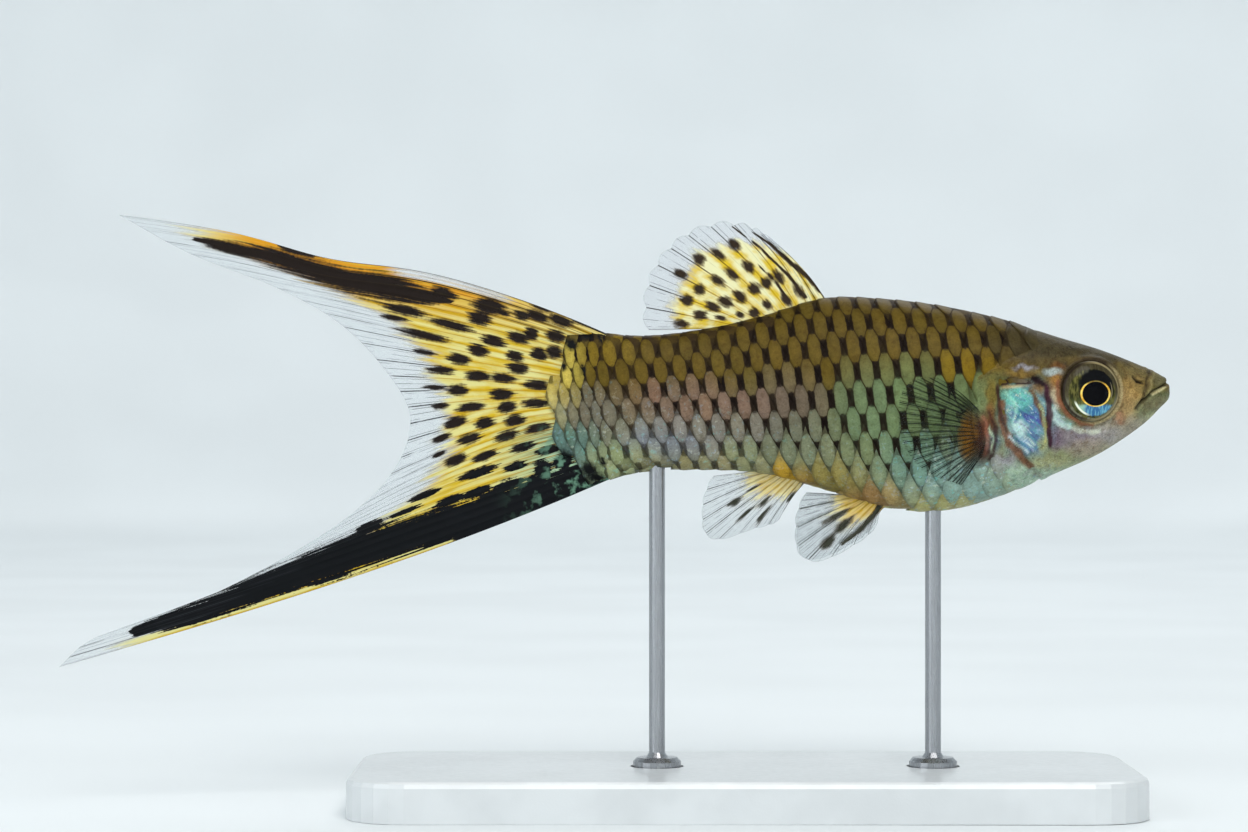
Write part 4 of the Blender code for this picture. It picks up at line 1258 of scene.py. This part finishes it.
def makeFinMaterial(name, look):
    material, shader = newMaterial(name, **{"Roughness": 0.5, "Specular IOR Level": 0.1})
    spread = readMap("RayFace")
    count, _ = parted(spread)
    solid = objectPlaces()
    fine = noiseAt(solid, 0.3)
    drawn = stretched(spread, (1, 0.16, 1))
    wide, narrow = (mapNoise(drawn, scale, 3.0) for scale in (1.3, 4.5))
    cloud = mapNoise(stretched(spread, (1, 0.8, 1)), 1.1, 4.0)
    spacing, warmth, teal, cold = (readNumber(field) for field in ("spacing", "warmth", "teal", "cold"))
    lines = useGroup(rays, {"Count": count, "Spacing": spacing, "Width": look["rayWidth"]})["Line"]
    third = {"Count": count * 3.0 + 0.5, "Spacing": spacing / 3.0, "Width": look["rayWidth"] * 0.4}
    allLines = mathOf("MAXIMUM", lines, useGroup(rays, third)["Line"])  # a fine line each side of every ray
    # the web is deepest in colour along its rays
    yellow = wide * 0.7 + cloud * 0.5 - mathOf("PINGPONG", count, 0.5) * 0.28
    web = mixColours(mathOf("MAXIMUM", between(yellow, 0.42, 0.66), warmth), look["pale"], look["strong"])
    web = mixColours(warmth * between(narrow, 0.3, 0.6, 0.3, 1.0), web, look["warm"])
    web = mixColours(teal, web, mixColours(between(narrow, 0.4, 0.6), (44, 84, 84), (150, 190, 160)))
    web = mixColours(lines * 0.55, web, look["ray"])
    web = mixColours(allLines * (between(narrow, 0.35, 0.6) * readNumber("darkRays")), web, look["line"])
    clear = (wide - 0.5) * 1.5 + readNumber("clear") + (narrow - 0.5) * 0.9
    clear = between(clear, 0.5, 1.3)
    web = mixColours(clear, web, look["clear"])
    # black spots and bands, brown along their feathered edge and green flecked near the root
    field = (narrow - 0.5) * 1.7 + readNumber("ink")
    softly = (1.2 - cold) * look["softness"]
    stain = useGroup(ink, {"Field": field, "Raggedness": 0.5, "Softness": softly})["Ink"]
    web = mixColours(between(stain, 0.0, 0.4) * 0.6, web, (96, 66, 24))
    web = mixColours(between(stain, 0.15, 0.9), web, mixColours(cold, look["ink"], (5, 8, 12)))
    flecks = between(noiseAt(solid, 1.5, 3.0), 0.5, 0.62) * (teal * teal)
    web = mixColours(flecks * 0.9, web, (104, 146, 122))
    # dark dashes on the rays of the clear edge, and whole dark rays where the fin has them
    ends = allLines * between(narrow, 0.37, 0.51) * between(clear, 0.3, 0.8)
    web = mixColours(ends, web, (34, 36, 40))
    wholeRays = lines * readNumber("wholeRays")
    feed(shader, "Base Color", mixColours(wholeRays, web, look["line"]))
    solidness = between(clear, 0.0, 1.0, look["webAlpha"], look["clearAlpha"])
    for mask, share in ((stain, 0.98), (ends, 0.8), (lines, look["rayAlpha"]), (wholeRays, 0.9)):
        solidness = mathOf("MAXIMUM", solidness, mask * share)
    feed(shader, "Alpha", solidness)
    addBump(shader, fine + (lines - stain), 0.025)
    return material


def addFinNumbers(obj, **fields):
    for name, values in fields.items():
        addNumber(obj.data, name, values)


caudal = dict(
    root=(5.7, -7.8),  # the levels between which it leaves the body
    rootIn=0.9,  # how far it reaches into the body
    trailing=(  # the free edge from the upper tip to the lower
        (105.0, 18.1), (98.0, 14.3), (89.6, 11.0), (83.0, 7.3), (78.4, 2.6), (75.9, -2.0),
        (77.2, -6.9), (81.4, -11.5), (88.2, -16.0), (98.0, -20.9), (107.4, -24.2), (111.0, -27.1),
    ),
    fan=(25.0, -24.0, 0.6),  # the first and last ray's angle, and how far each swings on towards its tip
    lines=32,
    grid=(160, 150),  # how many faces across the rays and along them
    spotSize=(1.1, 0.5),
    spots=(
        (69.1, 2.0), (66.5, 1.8), (71.1, 0.6), (66.7, 0.2), (63.2, 1.1), (63.2, -0.7), (69.8, -1.1),
        (66.3, -1.1),
        (71.3, -2.6), (68.4, -2.7), (65.4, -2.4), (70.0, -4.3), (66.2, -4.0), (63.1, -3.2), (71.4, -6.4),
        (68.4, -6.0), (64.6, -5.1), (62.1, -5.4), (65.4, -7.0), (69.2, -7.7, 2.0, 0.45),
        (69.2, -9.6, 1.6, 0.45),
        (71.0, 3.7), (72.9, 2.6), (69.1, 4.6), (65.1, 2.8), (67.5, 5.5), (65.0, 5.8), (65.4, 4.0, 0.8, 0.5),
        (67.9, 9.0, 1.6, 0.7), (68.9, 7.8, 1.3, 0.6), (64.7, 8.0, 0.8, 0.5), (63.0, 4.2, 0.8, 0.6),
        (74.6, 6.1, 2.2, 0.45), (71.8, 7.1, 1.9, 0.5), (77.5, 7.8, 1.2, 0.3), (76.4, 8.6, 2.6, 0.4),
        (72.6, 10.3, 1.5, 0.45), (63.2, 8.0, 1.1, 0.5), (66.6, 8.3, 0.8, 0.3), (74.6, 4.4, 1.3, 0.25),
        (71.8, -10.4, 1.6, 0.4), (74.5, -9.9, 1.6, 0.35), (62.6, 8.9, 1.0, 0.4), (60.8, 7.5, 1.2, 0.5),
        (61.3, 6.0, 1.1, 0.5), (62.6, -7.4, 1.0, 1.0), (60.6, -6.6, 0.9, 0.9), (66.0, -8.9, 1.8, 0.6),
        (63.8, 6.2, 0.7, 0.6), (61.5, 4.4, 0.8, 0.6), (72.9, -1.0, 1.0, 0.3), (72.8, -4.2, 0.9, 0.35),
        (73.0, -5.8, 0.6, 0.3), (73.4, 0.9, 1.2, 0.25), (63.4, -8.8, 1.2, 0.9), (67.6, -10.2, 1.8, 0.8),
        (76.5, -11.6, 1.6, 0.3), (80.0, -13.0, 2.0, 0.3),
    ),
    # bands: behind, level, half width
    upperBand=(
        (97.5, 15.7, 0.2), (94.0, 14.85, 0.6), (90.0, 14.0, 0.8), (86.0, 12.8, 1.05), (82.0, 11.4, 1.15),
        (79.0, 10.9, 1.2), (77.0, 10.6, 1.15), (74.5, 9.95, 0.8), (71.8, 9.4, 0.15),
    ),
    lowerBand=(
        (57.5, -9.1, 1.0), (63.0, -10.1, 1.35), (70.8, -12.35, 1.6), (80.5, -15.3, 1.9), (90.0, -18.95, 1.45),
        (97.6, -21.8, 1.05), (103.5, -23.6, 0.45),
    ),
    clearWidth=(1.3, 3.3),  # of the clear edge, by the lobes and in the middle
    clearTips=((105.2, 18.1, 8.0, 8.0), (111.0, -27.1, 6.5, 6.5)),
    look=dict(
        pale=(210, 203, 132), strong=(200, 168, 30), warm=(204, 130, 10), ray=(190, 140, 16),
        line=(40, 32, 14), clear=(196, 204, 208), ink=(26, 18, 14), rayWidth=0.13, softness=0.36,
        webAlpha=0.94, rayAlpha=0.5, clearAlpha=0.3,
    ),
)


def caudalPoint(s, t):
    top, foot = caudal["root"]
    level = top + (foot - top) * s
    rootBehind = crossEdge("rootEdge", level) - caudal["rootIn"]
    edge = curveThrough(caudal["trailing"], 2001)
    tipBehind, tipLevel = (np.interp(s, np.linspace(0, 1, 2001), edge[:, k]) for k in (0, 1))
    upper, lower, swing = caudal["fan"]
    leave = np.radians(upper + (lower - upper) * s)
    chord = np.arctan2(tipLevel - level, tipBehind - rootBehind)
    arrive = chord + swing * (chord - leave)
    third = 0.33 * np.hypot(tipBehind - rootBehind, tipLevel - level)
    x1, y1 = rootBehind + third * np.cos(leave), level + third * np.sin(leave)
    x2, y2 = tipBehind - third * np.cos(arrive), tipLevel - third * np.sin(arrive)
    a, b, c, d = (1 - t) ** 3, 3 * t * (1 - t) ** 2, 3 * t * t * (1 - t), t**3
    behind = a * rootBehind + b * x1 + c * x2 + d * tipBehind
    height = a * level + b * y1 + c * y2 + d * tipLevel
    height -= ease(0.2, 0.0, s) * bump(behind - 84, 7)  # the upper edge runs flatter here
    return place(behind, 0 * s, height) / mm


def makeCaudal():
    obj, s, _, middle, down = finSheet(caudalPoint, *caudal["grid"], caudal["lines"])
    b, l = placeOnSide(middle)
    field = spotField(middle, down, caudal["spots"], caudal["spotSize"])
    for band in ("upperBand", "lowerBand"):
        field = np.minimum(field, bandField(middle, caudal[band]))
    gap, _ = alongPath(b, l, [tuple(p) for p in curveThrough(caudal["trailing"], 120)])
    narrow, wide = caudal["clearWidth"]
    width = narrow + (wide - narrow) * ease(0.47, 0.2, np.abs(s - 0.47))
    clear = 2 - np.minimum.reduce([gap / width] + [reachFrom(b, l, tip) for tip in caudal["clearTips"]])
    strip = ease(63.0, 67.0, b) * ease(81.0, 76.0, b)  # a light strip along the upper edge
    lower = (1 - s) / 0.15 + 4 * ease(68.0, 80.0, b)
    upper = 0.2 + s / 0.012 + 2 * ease(0.0, 1.0, wander(b, l, 3.0, 21)) + 6 * ease(88.0, 94.0, b) + 4 * strip
    field = np.minimum.reduce([field, lower, upper])
    clear = np.maximum(clear, 1.05 * strip * ease(0.042, 0.02, s))
    warmth = ease(4.5, 9.5, l - 0.15 * (b - 60)) * (0.4 + 0.45 * ease(62.0, 72.0, b)) * ease(99.0, 90.0, b)
    teal = ease(69.0, 60.0, b) * ease(-1.5, -4.5, l) * 0.9
    dark = 0.15 + 0.85 * ease(0.2, 0.04, s) * ease(92.0, 84.0, b)
    whole = (0.75 + 0.25 * strip) * ease(0.13, 0.03, s) * ease(90.0, 84.0, b) * ease(58.0, 63.0, b)
    cold = ease(0.6, 0.8, s + 0.03 * wander(b, l, 2.0, 22))  # the lower band is a colder black
    addFinNumbers(obj, ink=field, clear=clear, warmth=warmth, teal=teal, cold=cold)
    addFinNumbers(obj, darkRays=dark, wholeRays=whole)
    material = makeFinMaterial("sword fin", caudal["look"])
    nodes = ("caudal_upper_lobe", "caudal_fan", "caudal_lower_lobe")
    finishPiece(obj, "caudal", material, nodes)


makeCaudal()
print("caudal fin made")

# The other fins fan out from a focus: their edge is a reach from it, by angle from straight ahead. A margin
# is the clear edge's width or, under 1, the share of the ray where the fin turns clear

dorsal = dict(
    root=(34.1, 43.9), focus=(43.35, 9.1), lines=10, bow=0.55, scallop=0.4, grid=(80, 50),
    reach=((62, 7.15), (84, 7.85), (124, 8.4), (160, 8.75), (196, 9.0)),
    spots=(
        (43.5, 15.1), (45.2, 14.3), (47.0, 13.7), (48.9, 12.2), (42.1, 12.9), (43.7, 12.2), (45.1, 11.5),
        (47.0, 10.7), (48.2, 9.6), (40.3, 11.3), (41.5, 10.7), (42.9, 9.9), (44.3, 9.4), (45.6, 8.9),
        (46.9, 8.1),
        (48.8, 7.2), (39.1, 11.9), (37.1, 10.6), (38.3, 9.6, 0.6, 0.4), (40.2, 9.1, 0.5, 0.35),
        (41.5, 8.3, 0.5, 0.45), (42.9, 8.1, 0.4, 0.25), (44.8, 7.8, 0.5, 0.25),
    ),
    spotSize=(0.66, 0.44), margin=2.5, leadDark=0.02, rootDark=0.05,
    darkRays=0.3, wholeRays=0.1, leadRays=1.0, tipRays=0.85, warmth=0.0,
    bands=(
        ((34.9, 10.5, 0.2), (36.1, 11.9, 0.24), (38.1, 13.55, 0.2), (39.9, 15.2, 0.14), (41.7, 16.4, 0.06)),
        ((36.4, 9.9, 0.18), (38.0, 12.0, 0.13), (41.1, 15.0, 0.11), (43.9, 17.1, 0.05)),
        ((37.9, 9.4, 0.14), (39.5, 11.6, 0.08), (41.4, 13.4, 0.06)),
    ),
    look=dict(
        pale=(222, 219, 172), strong=(210, 180, 40), warm=(212, 140, 16), ray=(186, 138, 18),
        line=(30, 24, 14), clear=(188, 194, 200), ink=(44, 33, 22), rayWidth=0.11, softness=0.5,
        webAlpha=0.94, rayAlpha=0.5, clearAlpha=0.25,
    ),
)
anal = dict(
    root=(36.1, 39.9), focus=(37.85, -8.4), lines=9, bow=0.2, scallop=0.12, grid=(72, 40),
    reach=((254, 4.1), (232, 6.2), (216, 9.8), (198, 9.2), (177, 7.7)),
    spots=(
        (43.4, -10.6, 0.7, 0.3), (42.4, -11.8, 0.9, 0.22), (40.5, -10.6, 0.8, 0.18), (40.6, -11.9, 1.1, 0.2),
        (37.8, -10.1, 0.6, 0.2), (41.6, -9.2, 0.7, 0.12),
    ),
    spotSize=(0.9, 0.15), margin=0.42, leadDark=0.02, rootDark=0.02,
    darkRays=0.5, wholeRays=0.7, leadRays=0.6, tipRays=0.0, warmth=0.25,
    bands=(((36.4, -8.6, 0.16), (37.3, -10.2, 0.1), (38.3, -11.8, 0.04)),),
    look=dict(  # the pelvic fins' as well
        pale=(222, 216, 160), strong=(210, 178, 54), warm=(206, 142, 20), ray=(166, 146, 30),
        line=(42, 38, 16), clear=(176, 186, 190), ink=(48, 50, 40), rayWidth=0.09, softness=0.6,
        webAlpha=0.75, rayAlpha=0.5, clearAlpha=0.24,
    ),
)
pelvic = dict(
    root=(28.0, 31.3), focus=(28.85, -10.1), lines=8, bow=0.35, scallop=0.15, grid=(64, 40),
    out=0.95, splay=16.0,  # how far from the middle it stands, and its angle outward
    reach=((262, 2.6), (240, 5.6), (221, 9.7), (200, 8.9), (176, 7.4)),
    spots=(
        (28.7, -10.5, 0.6, 0.4), (33.2, -11.9, 1.3, 0.22), (32.6, -12.85, 1.1, 0.3), (34.1, -14.5, 0.9, 0.35),
    ),
    spotSize=(0.9, 0.18), margin=0.42, leadDark=0.01, rootDark=0.02,
    darkRays=0.5, wholeRays=0.8, leadRays=0.8, tipRays=0.0, warmth=0.45,
    bands=(((28.6, -10.4, 0.3), (29.6, -11.9, 0.22), (31.0, -13.4, 0.22), (32.9, -14.8, 0.1)),),
)
pectoral = dict(
    root=(-1.6, -6.1),  # the levels between which it leaves the flank
    focus=(18.85, -3.8), lines=20, bow=0.25, scallop=0.06, behind=19.5, splay=15.0, grid=(160, 40),
    reach=((133, 7.6), (150, 9.6), (173, 9.2), (198, 8.0), (228, 6.1), (242, 5.6)),
    spots=(), spotSize=(0.5, 0.5), margin=0.0, leadDark=0.001, rootDark=0.001,
    darkRays=1.0, wholeRays=1.0, leadRays=0.0, tipRays=0.0, warmth=0.0, bands=(),
    look=dict(
        pale=(110, 116, 70), strong=(90, 96, 50), warm=(150, 96, 20), ray=(20, 26, 14), line=(14, 20, 12),
        clear=(20, 32, 22), ink=(20, 20, 14), rayWidth=0.085, softness=0.3,
        webAlpha=0.02, rayAlpha=0.0, clearAlpha=0.02,
    ),
)


def fanGrid(fan, s, t, rootLine):  # behind and level from the root's line to the fanned edge
    edge = curveThrough(fan["reach"], 401)
    angle, reach = (np.interp(s, np.linspace(0, 1, 401), edge[:, k]) for k in (0, 1))
    reach = reach + fan["scallop"] * np.abs(np.sin(math.pi * s * fan["lines"]))
    angle = np.radians(angle)
    tip = np.stack([fan["focus"][0] - reach * np.cos(angle), fan["focus"][1] + reach * np.sin(angle)], -1)
    start = np.stack(rootLine(s), -1)
    run = tip - start
    across = unit(np.stack([-run[:, 1], run[:, 0]], -1))
    bow = fan["bow"] * np.sin(math.pi * t) * (1 - s)
    return start + run * t[:, None] + across * bow[:, None]


def alongBody(fan, edge, sink):  # a root on the back (edge 0) or the belly (1), sunk a little
    def line(s):
        behind = fan["root"][0] + (fan["root"][1] - fan["root"][0]) * s
        return behind, sectionAt(behind)[edge] + sink

    return line


def flankWidth(behind, level):
    back, belly, widest, side, crown, keel = sectionAt(behind)
    above = level > widest
    height, power = np.where(above, back - widest, widest - belly), np.where(above, crown, keel)
    share = np.minimum(np.abs(level - widest) / height, 1.0)
    return side * (1 - share**power) ** (1 / power)


def middlePoint(fan, edge, sink):  # a fin in the fish's middle plane
    def point(s, t):
        spot = fanGrid(fan, s, t, alongBody(fan, edge, sink))
        return place(spot[:, 0], 0 * s, spot[:, 1]) / mm

    return point


def pelvicPoint(hand):
    hingeLevel = float(sectionAt(pelvic["root"][0])[1]) - 0.3
    splay = math.radians(pelvic["splay"])

    def point(s, t):
        spot = fanGrid(pelvic, s, t, alongBody(pelvic, 1, 0.5))
        drop = hingeLevel - spot[:, 1]
        out = pelvic["out"] + drop * math.sin(splay)
        return place(spot[:, 0], hand * out, hingeLevel - drop * math.cos(splay)) / mm

    return point


def pectoralPoint(hand):
    hinge = pectoral["behind"]
    shoulder = max(float(flankWidth(hinge, level)) for level in (-1.6, -3.8)) + 0.62
    splay = math.radians(pectoral["splay"])

    def rootLine(s):
        level = pectoral["root"][0] + (pectoral["root"][1] - pectoral["root"][0]) * s
        return hinge - 0.5 * np.sin(math.pi * s), level

    def point(s, t):
        spot = fanGrid(pectoral, s, t, rootLine)
        length = spot[:, 0] - (hinge - 0.5)
        bend = ease(2.6, 0.0, length)  # the root bends into the flank
        out = shoulder + length * math.sin(splay) - 1.0 * bend
        return place(hinge - 0.5 + length * math.cos(splay), hand * out, spot[:, 1]) / mm

    return point


def makeFan(name, fan, pointAt, material, node):
    obj, s, t, middle, down = finSheet(pointAt, *fan["grid"], fan["lines"])
    length = np.linalg.norm(pointAt(s, 0 * t + 1) - pointAt(s, 0 * t), axis=1)
    clear = 2 - (1 - t) * length / max(fan["margin"], 1.0)
    if fan["margin"] < 1:
        clear = 0.9 + 2.2 * (t - fan["margin"])
    field = [spotField(middle, down, fan["spots"], fan["spotSize"])]
    field += [bandField(middle, band) for band in fan["bands"]]
    field.append(0.3 + s / fan["leadDark"] + 3 * ease(0.75, 1.0, t))
    field.append(0.3 + t / fan["rootDark"] + 0.9 * np.abs(np.sin(math.pi * s * fan["lines"])))
    dark = np.maximum(fan["darkRays"], ease(0.32, 0.08, s) * fan["leadRays"])
    whole = fan["wholeRays"] * (ease(0.1, 0.6, t) if fan["spots"] else ease(0.14, 0.3, t))
    whole = np.maximum(whole + ease(0.3, 0.1, s) * fan["leadRays"] * 0.8, fan["tipRays"] * ease(0.5, 0.68, t))
    addFinNumbers(obj, ink=np.minimum.reduce(field), clear=clear, warmth=fan["warmth"] * ease(0.6, 0.1, t))
    addFinNumbers(obj, teal=0 * s, darkRays=dark, wholeRays=np.clip(whole, 0, 1))
    finishPiece(obj, name, material, (node,))


def makeFans():
    spotted = makeFinMaterial("dorsal fin", dorsal["look"])
    streaked = makeFinMaterial("lower fins", anal["look"])
    clearWeb = makeFinMaterial("pectoral fins", pectoral["look"])
    makeFan("dorsal", dorsal, middlePoint(dorsal, 0, -0.5), spotted, "dorsal_fin")
    makeFan("anal", anal, middlePoint(anal, 1, 0.5), streaked, "anal_fin")
    for name, hand in hands:
        for kind, fan, pointAt, web in (
            ("pelvic", pelvic, pelvicPoint, streaked), ("pectoral", pectoral, pectoralPoint, clearWeb)
        ):
            makeFan(f"{kind}_{name}", fan, pointAt(hand), web, f"{kind}_fin_{name}")


makeFans()
print("fins made")

# The stand keeps its solids and gets its finish

stand = dict(
    baseTint=(206, 210, 212),
    baseDarker=8,  # by which the clouds in the acrylic are darker
    steelTint=(176, 178, 182),
    steelDarker=40,
    nodes=dict(stand_base="base", stand_rod_front="steel", stand_rod_rear="steel"),
)


def twoTints(share, tint, darker):
    return mixColours(share, tint, tuple(v - darker for v in tint))


def makeStand():
    base, shader = newMaterial("satin acrylic", **{"Coat Weight": 0.35, "Coat Roughness": 0.12})
    solid = objectPlaces()
    cloud = between(noiseAt(solid, 9.0), 0.35, 0.65)
    feed(shader, "Base Color", twoTints(cloud, stand["baseTint"], stand["baseDarker"]))
    feed(shader, "Roughness", between(noiseAt(solid, 0.8), 0.3, 0.7, 0.3, 0.42))
    addBump(shader, noiseAt(solid, 0.25), 0.01)
    steel, shader = newMaterial("brushed steel", **{"Metallic": 1.0})
    streaks = noiseAt(stretched(objectPlaces(), (1, 1, 0.04)), 0.12)
    feed(shader, "Base Color", twoTints(streaks, stand["steelTint"], stand["steelDarker"]))
    feed(shader, "Roughness", between(streaks, 0.3, 0.7, 0.22, 0.4))
    addBump(shader, streaks, 0.006)
    for name, finish in stand["nodes"].items():
        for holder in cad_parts[name].material_slots:
            holder.material = base if finish == "base" else steel


makeStand()
print("stand finished")

# Studio

studio = dict(
    bowl=((0.0, 0.0), (0.62, 0.0), (0.74, 0.02), (0.84, 0.08), (0.9, 0.18), (0.92, 0.32), (0.92, 1.1)),
    bowlRings=60,
    bowlSteps=96,
    floorTint=(234, 239, 241),
    floorDarker=4,
    skyTint=(224, 232, 238),
    sky=0.32,
    lights=(  # place, size, power, tint
        ((0.12, -0.62, 0.62), 0.5, 4.6, (1.0, 0.98, 0.95)),
        ((-0.55, -0.5, 0.3), 0.5, 1.4, (0.94, 0.97, 1.0)),
        ((0.1, 0.55, 0.7), 0.6, 2.2, (1.0, 1.0, 1.0)),
    ),
    lightsFace=(0, 0, 0.04),
    cameraPlace=(0.001, -0.34667, 0.039),
    lens=100.0,
)


def makeFloor():
    deselectAll()
    bpy.ops.mesh.primitive_plane_add(size=0.01)
    floor = bpy.context.object
    floor.data.clear_geometry()  # a profile takes the plane's place and is spun into a bowl
    profile = curveThrough(studio["bowl"], studio["bowlRings"])
    edges = [(k, k + 1) for k in range(len(profile) - 1)]
    floor.data.from_pydata([(x, 0, z) for x, z in profile], edges, [])
    bpy.ops.object.mode_set(mode="EDIT")
    bpy.ops.mesh.select_all(action="SELECT")
    bpy.ops.mesh.spin(steps=studio["bowlSteps"], angle=math.tau, center=(0, 0, 0), axis=(0, 0, 1))
    bpy.ops.mesh.select_all(action="SELECT")
    bpy.ops.mesh.remove_doubles(threshold=1e-5)
    turnNormals(inside=True)
    material, shader = newMaterial("studio floor", Roughness=0.9)
    cloud = between(noiseAt(objectPlaces(), 60.0, 1.0), 0.3, 0.7)
    feed(shader, "Base Color", twoTints(cloud, studio["floorTint"], studio["floorDarker"]))
    floor.name = "studio_floor"
    floor.data.materials.append(material)


def makeLights():
    for k, (spot, size, power, tint) in enumerate(studio["lights"]):
        bpy.ops.object.light_add(type="AREA", location=spot)
        lamp = bpy.context.object
        lamp.name = f"soft_light_{k + 1}"
        lamp.data.shape = "DISK"
        lamp.data.size = size
        lamp.data.energy = power
        lamp.data.color = tint
        aim = Vector(studio["lightsFace"]) - Vector(spot)
        lamp.rotation_euler = aim.to_track_quat("-Z", "Y").to_euler()
    world = bpy.data.worlds.new("studio sky")
    bpy.context.scene.world = world
    world.use_nodes = True
    sky = world.node_tree.nodes["Background"]
    sky.inputs["Color"].default_value = shade(*studio["skyTint"])
    sky.inputs["Strength"].default_value = studio["sky"]


def makeCamera():
    bpy.ops.object.camera_add(location=studio["cameraPlace"], rotation=(math.pi / 2, 0, 0))
    camera = bpy.context.object
    camera.data.lens = studio["lens"]
    camera.data.sensor_width = 36.0
    camera.data.clip_start = 0.01
    bpy.context.scene.camera = camera
    bpy.context.scene.view_settings.view_transform = "Standard"


makeFloor()
makeLights()
makeCamera()
print("studio ready")
